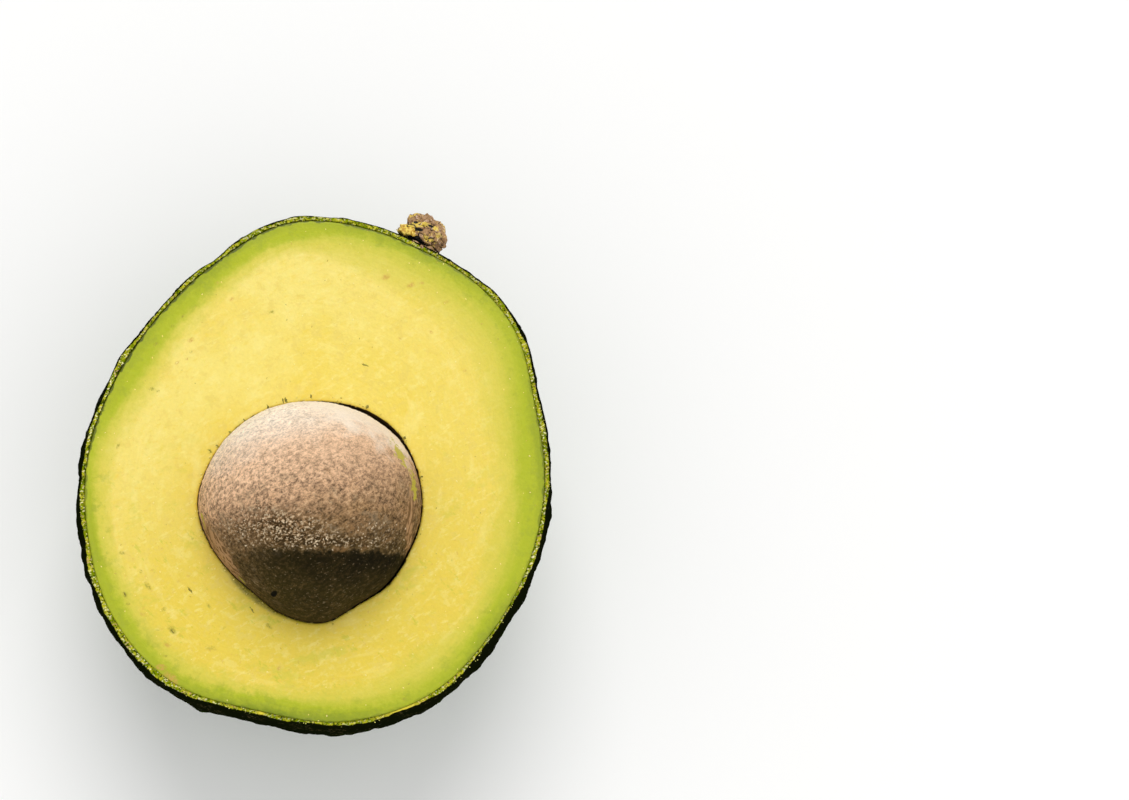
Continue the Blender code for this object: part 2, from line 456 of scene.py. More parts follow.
@dataclass(frozen=True)
class Sight:
    """Where the photograph was taken from, and what its pixels look at."""

    middle: Vector = field(default_factory=lambda: Vector((0.0, 0.0, 38.0)) * MM)
    elevation: float = math.radians(83)
    up_azimuth: float = math.radians(113)
    distance: float = 573.0 * MM
    aim_right: float = 41.17 * MM
    aim_up: float = 12.58 * MM
    lens_mm: float = 110.0
    sensor_mm: float = 36.0
    width_px: int = 1129
    height_px: int = 800

    @property
    def up(self) -> Vector:
        """The level direction that the picture's top lies in."""
        return Vector((math.cos(self.up_azimuth), math.sin(self.up_azimuth), 0.0))

    @property
    def right(self) -> Vector:
        """The level direction that the picture's right side lies in."""
        return Vector((math.sin(self.up_azimuth), -math.cos(self.up_azimuth), 0.0))

    def matrix(self) -> Matrix:
        """The camera's place: it stands over the half, and is turned a little to the side.

        Returns:
            The camera's matrix in the world.
        """
        back = Vector((0.0, 0.0, math.sin(self.elevation))) - self.up * math.cos(self.elevation)
        eye = self.middle + back * self.distance
        aim = self.middle + self.right * self.aim_right + self.right.cross(-back) * self.aim_up
        look = (aim - eye).normalized()
        across = look.cross(self.up).normalized()
        turn = Matrix((across, across.cross(look), -look)).transposed()
        return Matrix.Translation(eye) @ turn.to_4x4()

    def ray(self, across_px: float, down_px: float) -> tuple[Vector, Vector]:
        """The line of sight through a pixel of the photograph.

        Args:
            across_px: pixels from the photograph's left side.
            down_px: pixels from its top.

        Returns:
            The camera's place and the direction.
        """
        place = self.matrix()
        reach = self.lens_mm / self.sensor_mm * self.width_px
        local = Vector((across_px - self.width_px / 2, self.height_px / 2 - down_px, -reach))
        return place.translation, (place.to_3x3() @ local).normalized()

    def on_level(self, across_px: float, down_px: float, level: float) -> Vector:
        """The point of a level plane that a pixel looks at."""
        eye, look = self.ray(across_px, down_px)
        return eye + look * ((level - eye.z) / look.z)

    def on_ball(self, across_px: float, down_px: float, centre: Vector, radius: float) -> Vector:
        """The point of a ball that a pixel looks at, or the nearest to its line of sight.

        Args:
            across_px: pixels from the photograph's left side.
            down_px: pixels from its top.
            centre: the ball's middle.
            radius: the ball's radius.

        Returns:
            The point.
        """
        eye, look = self.ray(across_px, down_px)
        along = (centre - eye).dot(look)
        nearest = eye + look * along
        depth = math.sqrt(max(0.0, radius**2 - (nearest - centre).length_squared))
        return nearest - look * depth


def add_lump(draft: Draft, middle: Vector, way: Vector, size: Vector, rough: float) -> None:
    """Adds a small closed body that lies along a way, pointed at both ends and uneven.

    Args:
        draft: the mesh in the making.
        middle: its middle.
        way: the level direction of its length.
        size: its length, width and height.
        rough: how uneven it is, as a share of its width.
    """
    side = UP.cross(way)
    rings = []
    for step in range(1, LUMP_RINGS):
        share = step / LUMP_RINGS
        swell = math.sin(math.pi * share) ** LUMP_BLUNTNESS
        spots = []
        for number in range(LUMP_SIDES):
            angle = math.tau * number / LUMP_SIDES
            across = side * (math.cos(angle) * size.y / 2) + UP * (math.sin(angle) * size.z / 2)
            spot = middle + way * ((share - 0.5) * size.x) + across * swell
            spots.append(spot + across * rough * noise.noise(spot / (LUMP_GRAIN * size.y)))
        rings.append(draft.ring(spots))
    for first, second in zip(rings, rings[1:]):
        draft.band(first, second)
    draft.cap(rings[0], middle - way * (size.x / 2))
    draft.cap(rings[-1], middle + way * (size.x / 2))


@dataclass(frozen=True)
class Smudge:
    """A soft mark where a pixel of the photograph shows it, a stain or a painted shade, turned
    anticlockwise by degrees.
    """

    mark: Mark
    across_px: float
    down_px: float
    length_mm: float
    width_mm: float
    turn: float = 0.0
    strength: float = 1.0


def stain(
    mesh: bpy.types.Mesh,
    sight: Sight,
    smudges: tuple[Smudge, ...],
    spot: Callable[[float, float], Vector],
    floor: float,
) -> dict[Mark, np.ndarray]:
    """Marks smudges, stains and painted shades alike, on the part of a mesh that lies over a level.

    Args:
        mesh: the mesh that gets the marks.
        sight: tells how the picture lies over the object.
        smudges: the stains and painted shades, those of one mark adding up.
        spot: gives the point of the surface that a pixel looks at.
        floor: the level under which nothing is stained.

    Returns:
        The strength of each mark at each point, from 0 to 1.
    """
    points = np.empty(3 * len(mesh.vertices))
    mesh.vertices.foreach_get("co", points)
    points = points.reshape(-1, 3)
    strengths = {smudge.mark: np.zeros(len(points)) for smudge in smudges}
    for smudge in smudges:
        off = points - np.array(spot(smudge.across_px, smudge.down_px))
        turn = Matrix.Rotation(math.radians(smudge.turn), 3, "Z")
        far = off @ np.array(turn @ sight.right) / (smudge.length_mm * MM / 2)
        near = off @ np.array(turn @ sight.up) / (smudge.width_mm * MM / 2)
        strengths[smudge.mark] += smudge.strength * np.exp(-far**2 - near**2)
    for mark, strength in strengths.items():
        strength[:] = np.clip((strength - STAIN_TAIL) / (1 - STAIN_TAIL), 0.0, 1.0) * (points[:, 2] > floor)
        mesh.attributes.new(mark.value, "FLOAT", "POINT").data.foreach_set("value", strength)
    return strengths


class Wire:
    """A node's output that Python's operators work on: each adds a Math node to the same tree."""

    def __init__(self, bench: "Bench", socket: bpy.types.NodeSocket) -> None:
        """Keeps the output, and the bench that adds nodes to its tree."""
        self.bench = bench
        self.socket = socket

    def __add__(self, other: "Wire | float") -> "Wire":
        """This value plus another."""
        return self.bench.math("ADD", self, other)

    def __sub__(self, other: "Wire | float") -> "Wire":
        """This value less another."""
        return self.bench.math("SUBTRACT", self, other)

    def __rsub__(self, other: float) -> "Wire":
        """A number less this value."""
        return self.bench.math("SUBTRACT", other, self)

    def __mul__(self, other: "Wire | float") -> "Wire":
        """This value times another."""
        return self.bench.math("MULTIPLY", self, other)

    def __truediv__(self, other: "Wire | float") -> "Wire":
        """This value over another."""
        return self.bench.math("DIVIDE", self, other)

    def __rtruediv__(self, other: float) -> "Wire":
        """A number over this value."""
        return self.bench.math("DIVIDE", other, self)

    __radd__ = __add__

    def ramp(self, low: float, high: float) -> "Wire":
        """Goes smoothly from 0 to 1 as this value goes from low to high, or back if low is the higher.

        Args:
            low: the value that gives 0.
            high: the value that gives 1.

        Returns:
            The share as a wire.
        """
        if low > high:
            return 1.0 - self.ramp(high, low)
        sockets = {"Value": self, "From Min": low, "From Max": high}
        return self.bench.add("ShaderNodeMapRange", {"interpolation_type": "SMOOTHSTEP"}, sockets)


class Bench:
    """Adds and links the nodes of one tree."""

    def __init__(self, tree: bpy.types.NodeTree) -> None:
        """Takes the tree that the nodes go into."""
        self.tree = tree

    def add(
        self,
        kind: str,
        settings: dict[str, Any] | None = None,
        sockets: dict[int | str, Any] | None = None,
        output: int | str = 0,
    ) -> Wire:
        """Adds a node.

        Args:
            kind: the node's type.
            settings: its properties, and a ramp's stops as (place, colour) pairs.
            sockets: a value or a wire for each input, by name or number.
            output: the output that comes back.

        Returns:
            The output as a wire.
        """
        node = self.tree.nodes.new(kind)
        for name, value in (settings or {}).items():
            if name == "stops":
                self._set_stops(node.color_ramp.elements, value)
            else:
                setattr(node, name, value)
        for name, value in (sockets or {}).items():
            self.feed(node.inputs[name], value)
        return Wire(self, node.outputs[output])

    @staticmethod
    def _set_stops(elements: Any, stops: tuple[tuple[float, Colour], ...]) -> None:
        """Sets a colour ramp's stops.

        Args:
            elements: the ramp's own stops.
            stops: the place and the colour of each.
        """
        while len(elements) < len(stops):
            elements.new(1.0)
        for element, (place, colour) in zip(elements, stops):
            element.position = place
            element.color = (*colour, 1.0)

    def feed(self, socket: bpy.types.NodeSocket, value: Any) -> None:
        """Links a wire to an input, or sets the input's own value.

        Args:
            socket: the input.
            value: a wire, a number, a colour or a vector.
        """
        if isinstance(value, Wire):
            self.tree.links.new(value.socket, socket)
        elif socket.type == "RGBA" and len(value) == 3:
            socket.default_value = (*value, 1.0)
        else:
            socket.default_value = value

    def also(self, wire: Wire, output: int | str) -> Wire:
        """Another output of the node that a wire comes from."""
        return Wire(self, wire.socket.node.outputs[output])

    def math(self, operation: str, *values: Wire | float) -> Wire:
        """Adds a Math node on up to three values."""
        return self.add("ShaderNodeMath", {"operation": operation}, dict(enumerate(values)))

    def vector(self, operation: str, *values: Any, output: int | str = 0) -> Wire:
        """Adds a Vector Math node and returns its vector, or its number as the output "Value"."""
        return self.add("ShaderNodeVectorMath", {"operation": operation}, dict(enumerate(values)), output)


class Paint(Bench):
    """The tree of one material, with the parts that every finish here uses."""

    def __init__(self, name: str) -> None:
        """Makes an empty material with its shader.

        Args:
            name: the material's name.
        """
        self.material = bpy.data.materials.new(name)
        self.material.use_nodes = True
        super().__init__(self.material.node_tree)
        self.shader = self.tree.nodes["Principled BSDF"]
        self.place = self.add("ShaderNodeTexCoord", output="Object")

    def mark(self, mark: Mark) -> Wire:
        """A number that the mesh carries at its points."""
        return self.add("ShaderNodeAttribute", {"attribute_name": mark.value}, output="Fac")

    def grain(
        self, width: float, detail: float = 2.0, rough: float = 0.5, place: Wire | None = None
    ) -> Wire:
        """Soft noise whose blots are about a width across, from 0 to 1."""
        sockets = {"Vector": place or self.place, "Scale": 1 / width, "Detail": detail, "Roughness": rough}
        return self.add("ShaderNodeTexNoise", {}, sockets)

    def cells(self, width: float) -> Wire:
        """Cells about a width across: the distance to the nearest middle, in widths."""
        return self.add("ShaderNodeTexVoronoi", {}, {"Vector": self.place, "Scale": 1 / width})

    def stretched(self, turn: float, along: float) -> Wire:
        """The place, turned about +Z and drawn out along the turned X."""
        sockets = {"Vector": self.place, "Rotation": (0.0, 0.0, turn), "Scale": (along, 1.0, 1.0)}
        return self.add("ShaderNodeMapping", {"vector_type": "TEXTURE"}, sockets)

    def round_outline(self, depth_mm: Wire, long_way: float, short_way: float) -> Wire:
        """A place for patterns that run round the fruit, side by side with its outline.

        Args:
            depth_mm: distance from the rind, in millimetres.
            long_way: how long one unit of the place is, round the fruit at its usual radius.
            short_way: how long one unit is, away from the rind.

        Returns:
            The place, for textures of a width of 1.
        """
        level = self.vector("MULTIPLY", self.place, (1.0, 1.0, 0.0))
        turns = USUAL_RADIUS / long_way
        way = self.vector("MULTIPLY", self.vector("NORMALIZE", level), (turns, turns, 0.0))
        inwards = self.add("ShaderNodeCombineXYZ", {}, {"Z": depth_mm * (MM / short_way)})
        return self.vector("ADD", way, inwards)

    def along(self, direction: Vector, start: Vector) -> Wire:
        """How far the place lies from a start along a direction, in metres."""
        return self.vector("DOT_PRODUCT", self.place, direction, output="Value") - start.dot(direction)

    def mix(self, share: Wire | float, low: Wire | Colour, high: Wire | Colour) -> Wire:
        """Goes from the low colour to the high one as the share goes from 0 to 1."""
        sockets = {MIX_SHARE: share, MIX_LOW: low, MIX_HIGH: high}
        return self.add("ShaderNodeMix", {"data_type": "RGBA"}, sockets, MIX_RESULT)

    def shade(self, colour: Wire, amount: Wire) -> Wire:
        """A colour times an amount of light.

        Args:
            colour: the colour.
            amount: 1 to leave it, less to darken it.

        Returns:
            The shaded colour.
        """
        grey = self.add("ShaderNodeCombineColor", {}, {"Red": amount, "Green": amount, "Blue": amount})
        settings = {"data_type": "RGBA", "blend_type": "MULTIPLY"}
        sockets = {MIX_SHARE: 1.0, MIX_LOW: colour, MIX_HIGH: grey}
        return self.add("ShaderNodeMix", settings, sockets, MIX_RESULT)

    def bump(self, height: Wire, depth: float, before: Wire | None = None) -> Wire:
        """A normal from a height of 0 to 1 that stands for a depth.

        Args:
            height: the height at each place.
            depth: the depth that a height of 1 stands for.
            before: the normal of the bump under this one, if any.

        Returns:
            The normal.
        """
        sockets: dict[int | str, Any] = {"Height": height, "Distance": depth, "Strength": 1.0}
        if before:
            sockets["Normal"] = before
        return self.add("ShaderNodeBump", {}, sockets)

    def dress(self, inputs: dict[str, Any]) -> bpy.types.Material:
        """Feeds the shader's inputs by name.

        Args:
            inputs: a value or a wire for each input that isn't left as it is.

        Returns:
            The material.
        """
        for name, value in inputs.items():
            self.feed(self.shader.inputs[name], value)
        return self.material


class Growth(Bench):
    """A Geometry Nodes tree with named inputs, used once on a piece and then made plain mesh."""

    def __init__(self, name: str) -> None:
        """Makes a tree that takes a geometry and gives one.

        Args:
            name: the tree's name.
        """
        super().__init__(bpy.data.node_groups.new(name, "GeometryNodeTree"))
        for way in ("INPUT", "OUTPUT"):
            self.tree.interface.new_socket("Geometry", in_out=way, socket_type="NodeSocketGeometry")
        self.entry = self.tree.nodes.new("NodeGroupInput")
        self.exit = self.tree.nodes.new("NodeGroupOutput")
        self.geometry = Wire(self, self.entry.outputs["Geometry"])
        self.values: dict[str, Any] = {}

    def take(self, name: str, value: int | float | bpy.types.Material) -> Wire:
        """Adds a named input of the right kind for a value.

        Args:
            name: the input's name.
            value: the value that the modifier gets.

        Returns:
            The input as a wire.
        """
        kinds = {int: "NodeSocketInt", float: "NodeSocketFloat", bpy.types.Material: "NodeSocketMaterial"}
        socket = self.tree.interface.new_socket(name, in_out="INPUT", socket_type=kinds[type(value)])
        self.values[socket.identifier] = value
        return Wire(self, self.entry.outputs[name])

    def mark(self, mark: Mark) -> Wire:
        """A number that the mesh carries at its points."""
        sockets = {"Name": mark.value}
        return self.add("GeometryNodeInputNamedAttribute", {"data_type": "FLOAT"}, sockets)

    def stretched(self, turn: Wire, along: Wire) -> Wire:
        """The place in space, turned about +Z and drawn out along the turned X.

        Args:
            turn: the turn about +Z.
            along: how many times longer it is drawn.

        Returns:
            The place.
        """
        place = self.add("GeometryNodeInputPosition")
        settings = {"rotation_type": "Z_AXIS", "invert": True}
        turned = self.add("ShaderNodeVectorRotate", settings, {"Vector": place, "Angle": turn})
        shrink = self.add("ShaderNodeCombineXYZ", {}, {"X": 1.0 / along, "Y": 1.0, "Z": 1.0})
        return self.vector("MULTIPLY", turned, shrink)

    def noise(self, place: Wire, width: Wire, detail: float) -> Wire:
        """Soft noise over a place, from about -0.5 to 0.5."""
        sockets = {"Vector": place, "Scale": 1.0 / width, "Detail": detail}
        return self.add("ShaderNodeTexNoise", {}, sockets) - 0.5

    def use(self, piece: bpy.types.Object, result: Wire, material: Wire) -> bpy.types.Object:
        """Ends the tree, runs it on a piece and leaves the piece a plain mesh.

        Args:
            piece: the object that the modifier goes on.
            result: the geometry made.
            material: the material input that the result is given.

        Returns:
            The piece.
        """
        real = self.add("GeometryNodeRealizeInstances", {}, {"Geometry": result})
        dressed = self.add("GeometryNodeSetMaterial", {}, {"Geometry": real, "Material": material})
        self.tree.links.new(dressed.socket, self.exit.inputs[0])
        modifier = piece.modifiers.new(self.tree.name, "NODES")
        modifier.node_group = self.tree
        for identifier, value in self.values.items():
            modifier[identifier] = value
        graph = bpy.context.evaluated_depsgraph_get()
        made = bpy.data.meshes.new_from_object(piece.evaluated_get(graph), depsgraph=graph)
        piece.modifiers.remove(modifier)
        piece.data = made
        return piece


@dataclass(frozen=True)
class Relief:
    """Fine relief that a surface is given by Geometry Nodes: soft layers of noise and round pebbles."""

    layers: tuple[tuple[float, float], ...]
    pebble_width: float = 3.6 * MM
    pebble_height: float = 0.0
    turn: float = 0.0
    drawn_out: float = 1.0
    pebble_smoothness: float = 0.6
    pebble_middle: float = 0.4
    layer_detail: float = 2.0

    def raise_on(self, piece: bpy.types.Object, material: bpy.types.Material) -> bpy.types.Object:
        """Moves the surface along its normals, as far as its relief mark allows.

        Args:
            piece: the object, whose mesh carries the relief mark.
            material: the material that it is given.

        Returns:
            The piece, as a plain mesh.
        """
        tree = Growth(f"{piece.name}_relief")
        place = tree.stretched(tree.take("Grain turn", self.turn), tree.take("Drawn out", self.drawn_out))
        height = self._layer(tree, place, 0)
        for number in range(1, len(self.layers)):
            height = height + self._layer(tree, place, number)
        if self.pebble_height:
            pebble_scale = 1.0 / tree.take("Pebble width", self.pebble_width)
            sockets = {"Scale": pebble_scale, "Smoothness": self.pebble_smoothness}
            cells = tree.add("ShaderNodeTexVoronoi", {"feature": "SMOOTH_F1"}, sockets)
            height = height + (self.pebble_middle - cells) * tree.take("Pebble height", self.pebble_height)
        normal = tree.add("GeometryNodeInputNormal")
        offset = tree.vector("SCALE", normal)
        tree.feed(offset.socket.node.inputs["Scale"], height * tree.mark(Mark.RELIEF))
        moved = tree.add("GeometryNodeSetPosition", {}, {"Geometry": tree.geometry, "Offset": offset})
        return tree.use(piece, moved, tree.take("Finish", material))

    def _layer(self, tree: Growth, place: Wire, number: int) -> Wire:
        """One layer of noise, its width and height being inputs of the tree.

        Args:
            tree: the tree in the making.
            place: the place that the noise reads.
            number: the layer's number.

        Returns:
            The layer's height at each point.
        """
        width, height = self.layers[number]
        noise_wire = tree.noise(place, tree.take(f"Layer {number} width", width), self.layer_detail)
        return noise_wire * tree.take(f"Layer {number} height", height)


class Grain(Enum):
    """The shape of a small body that is strewn over a surface."""

    DOME = "dome"
    CRATER = "crater"


@dataclass(frozen=True)
class Strewn:
    """Small bodies strewn over a piece by Geometry Nodes, where its mark says."""

    name: str
    mark: Mark
    grain: Grain
    spacing: float
    per_square_mm: float
    width: float
    smallest: float
    length: float
    flatness: float
    seed: int
    sides: int = 8
    turned: float = math.tau
    crater_path: float = 0.55
    crater_tube: float = 0.45

    def grow(self, source: bpy.types.Object, material: bpy.types.Material) -> bpy.types.Object:
        """Makes the bodies as one new object.

        Args:
            source: the piece whose surface carries them.
            material: their material.

        Returns:
            The new object, as a plain mesh.
        """
        piece = bpy.data.objects.new(self.name, source.data.copy())
        bpy.context.scene.collection.objects.link(piece)
        tree = Growth(f"{self.name}_strewn")
        seed = tree.take("Seed", self.seed)
        points = tree.add("GeometryNodeDistributePointsOnFaces", {"distribute_method": "POISSON"}, {
            "Mesh": tree.geometry,
            "Distance Min": tree.take("Spacing", self.spacing),
            "Density Max": tree.take("Most per square metre", self.per_square_mm / MM**2),
            "Density Factor": tree.mark(self.mark),
            "Seed": seed,
        })
        turn = tree.add("FunctionNodeRandomValue", {"data_type": "FLOAT"}, {
            RANDOM_LEAST: 0.0, RANDOM_MOST: tree.take("Widest turn", self.turned), RANDOM_SEED: seed,
        }, RANDOM_RESULT)
        about = tree.add("ShaderNodeCombineXYZ", {}, {"Z": turn})
        rotation = tree.add("FunctionNodeRotateRotation", {"rotation_space": "LOCAL"}, {
            "Rotation": tree.also(points, "Rotation"), "Rotate By": about,
        })
        size = tree.add("FunctionNodeRandomValue", {"data_type": "FLOAT"}, {
            RANDOM_LEAST: tree.take("Smallest share", self.smallest),
            RANDOM_MOST: 1.0,
            RANDOM_SEED: seed + 1.0,
        }, RANDOM_RESULT)
        placed = tree.add("GeometryNodeInstanceOnPoints", {}, {
            "Points": points, "Instance": self._body(tree), "Rotation": rotation, "Scale": size,
        })
        smooth = tree.add("GeometryNodeSetShadeSmooth", {}, {"Geometry": placed})
        return tree.use(piece, smooth, tree.take("Finish", material))

    def _body(self, tree: Growth) -> Wire:
        """One body, at the origin, lying flat.

        Args:
            tree: the tree in the making.

        Returns:
            The body's geometry.
        """
        sides = tree.take("Sides", self.sides)
        radius = tree.take("Radius", self.width / 2)
        if self.grain is Grain.DOME:
            sockets = {"Segments": sides, "Rings": SMALL_DOME_RINGS, "Radius": radius}
            form = tree.add("GeometryNodeMeshUVSphere", {}, sockets)
        else:
            circle = "GeometryNodeCurvePrimitiveCircle"
            path = tree.add(circle, {}, {"Resolution": sides, "Radius": radius * self.crater_path})
            thin = {"Resolution": SMALL_TUBE_SIDES, "Radius": radius * self.crater_tube}
            tube = tree.add(circle, {}, thin)
            form = tree.add("GeometryNodeCurveToMesh", {}, {"Curve": path, "Profile Curve": tube})
        stretch = (self.length, 1.0, self.flatness)
        return tree.add("GeometryNodeTransform", {}, {"Geometry": form, "Scale": stretch})


@dataclass(frozen=True)
class PeelFinish:
    """Waxy green skin, painted nearly black towards the rim as shade, and the granular olive rind where it
    is cut.
    """

    up: Vector
    deep: Colour = linear(42, 66, 6)
    mid: Colour = linear(68, 104, 8)
    lit_green: Colour = linear(96, 134, 16)
    fleck: Colour = linear(140, 156, 58)
    painted_shade_black: Colour = linear(15, 19, 5)
    scuff: Colour = linear(84, 74, 48)
    olive: Colour = linear(122, 140, 2)
    golden: Colour = linear(192, 188, 44)
    pale: Colour = linear(255, 248, 188)
    rosy: Colour = linear(214, 172, 120)
    dark_grain: Colour = linear(42, 56, 2)
    inner_line: Colour = linear(28, 38, 4)
    flesh: Colour = linear(230, 212, 70)
    painted_shade_foot: float = 21 * MM
    painted_shade_top: float = 37 * MM
    matt_above: float = 33 * MM
    glossy_below: float = 22 * MM
    ridge_width: float = 2.3 * MM
    pebble_width: float = 3.6 * MM
    edge_patches: float = 14 * MM
    scuff_foot: float = 30 * MM
    scuff_top: float = 40 * MM
    coat_weight: float = 0.5
    roughness: float = 0.46

    def material(self) -> bpy.types.Material:
        """Makes the material.

        Returns:
            The material.
        """
        paint = Paint("avocado_peel")
        ridges = paint.grain(self.ridge_width)
        height = paint.along(UP, Vector())
        # Painted shade: the skin goes nearly black towards the rim, with a ragged lower edge.
        patches = (paint.grain(9 * MM, 3.0) - 0.5) * self.edge_patches
        patches = patches - (ridges - 0.5) * self.edge_patches
        rim = (height + patches).ramp(self.painted_shade_foot, self.painted_shade_top)
        scuffs = paint.grain(0.5 * MM, 3.0, 0.7).ramp(0.54, 0.62)
        scuffs *= paint.grain(4 * MM, 3.0).ramp(0.47, 0.62)
        low_side = paint.along(self.up, Vector()).ramp(-self.scuff_foot, -self.scuff_top)
        scuffs *= low_side * height.ramp(self.scuff_foot, self.scuff_top)
        # The near-black is painted shade; brown scuffs lie on it on the lower side.
        dark = paint.mix(scuffs * 0.65, self.painted_shade_black, self.scuff)
        green = paint.mix(rim, self._skin(paint, ridges), dark)
        colour = paint.mix(paint.mark(Mark.RIND).ramp(0.0, 0.05), green, self._rind(paint))
        fine = paint.grain(0.35 * MM, 3.0)
        return paint.dress({
            "Base Color": colour,
            "Roughness": self.roughness + (paint.grain(2.2 * MM) - 0.5) * 0.2,
            "Specular IOR Level": 0.0,
            "Coat Weight": height.ramp(self.matt_above, self.glossy_below) * self.coat_weight,
            "Coat Roughness": 0.22,
            "Coat IOR": 1.42,
            "Normal": paint.bump(fine, 0.05 * MM, paint.bump(paint.grain(1.0 * MM), 0.14 * MM)),
        })

    def _skin(self, paint: Paint, ridges: Wire) -> Wire:
        """The colour of the outside below the rim: painted lighter on the ridges and darker between the
        pebbles, as light and shade.

        Args:
            paint: the material in the making.
            ridges: the soft ridges' noise.

        Returns:
            The colour.
        """
        green = paint.mix(paint.grain(6 * MM, 4.0, 0.6).ramp(0.36, 0.64), self.deep, self.mid)
        # Painted light on the raised ridges, and below it painted shade in the low parts between the
        # pebbles.
        green = paint.mix(ridges.ramp(0.4, 0.72) * 0.7, green, self.lit_green)
        valley_shade = paint.cells(self.pebble_width).ramp(0.35, 0.8)
        green = paint.mix(valley_shade * 0.6, green, self.deep)
        return paint.mix(paint.grain(0.6 * MM).ramp(0.66, 0.74) * 0.3, green, self.fleck)

    def _rind(self, paint: Paint) -> Wire:
        """The cut edge's colour, from its outer line painted black as shade to its dark inner line.

        Args:
            paint: the material in the making.

        Returns:
            The colour.
        """
        wander = paint.grain(0.8 * MM, 4.0, 0.6) - 0.5
        across = paint.mark(Mark.RIND)
        body = paint.mix(paint.grain(1.1 * MM, 4.0, 0.65).ramp(0.42, 0.6), self.olive, self.golden)
        body = paint.mix(paint.grain(0.34 * MM).ramp(0.47, 0.4) * 0.85, body, self.dark_grain)
        glints = paint.grain(0.36 * MM, place=paint.stretched(0.6, 1.3))
        pale = paint.mix(paint.grain(3.0 * MM).ramp(0.52, 0.62), self.pale, self.rosy)
        body = paint.mix(glints.ramp(0.55, 0.61) * paint.mark(Mark.PALE), body, pale)
        body = paint.mix(paint.mark(Mark.BARE), body, self.flesh)
        # The outer side of the cut edge is painted near-black as shade.
        off_painted_shade = across + wander * 0.5 - paint.mark(Mark.BLACK)
        body = paint.mix(off_painted_shade.ramp(0.1, -0.06), body, self.painted_shade_black)
        inner = (across + wander * 0.7).ramp(0.7, 0.86) * paint.mark(Mark.LINE)
        return paint.mix(inner, body, self.inner_line)


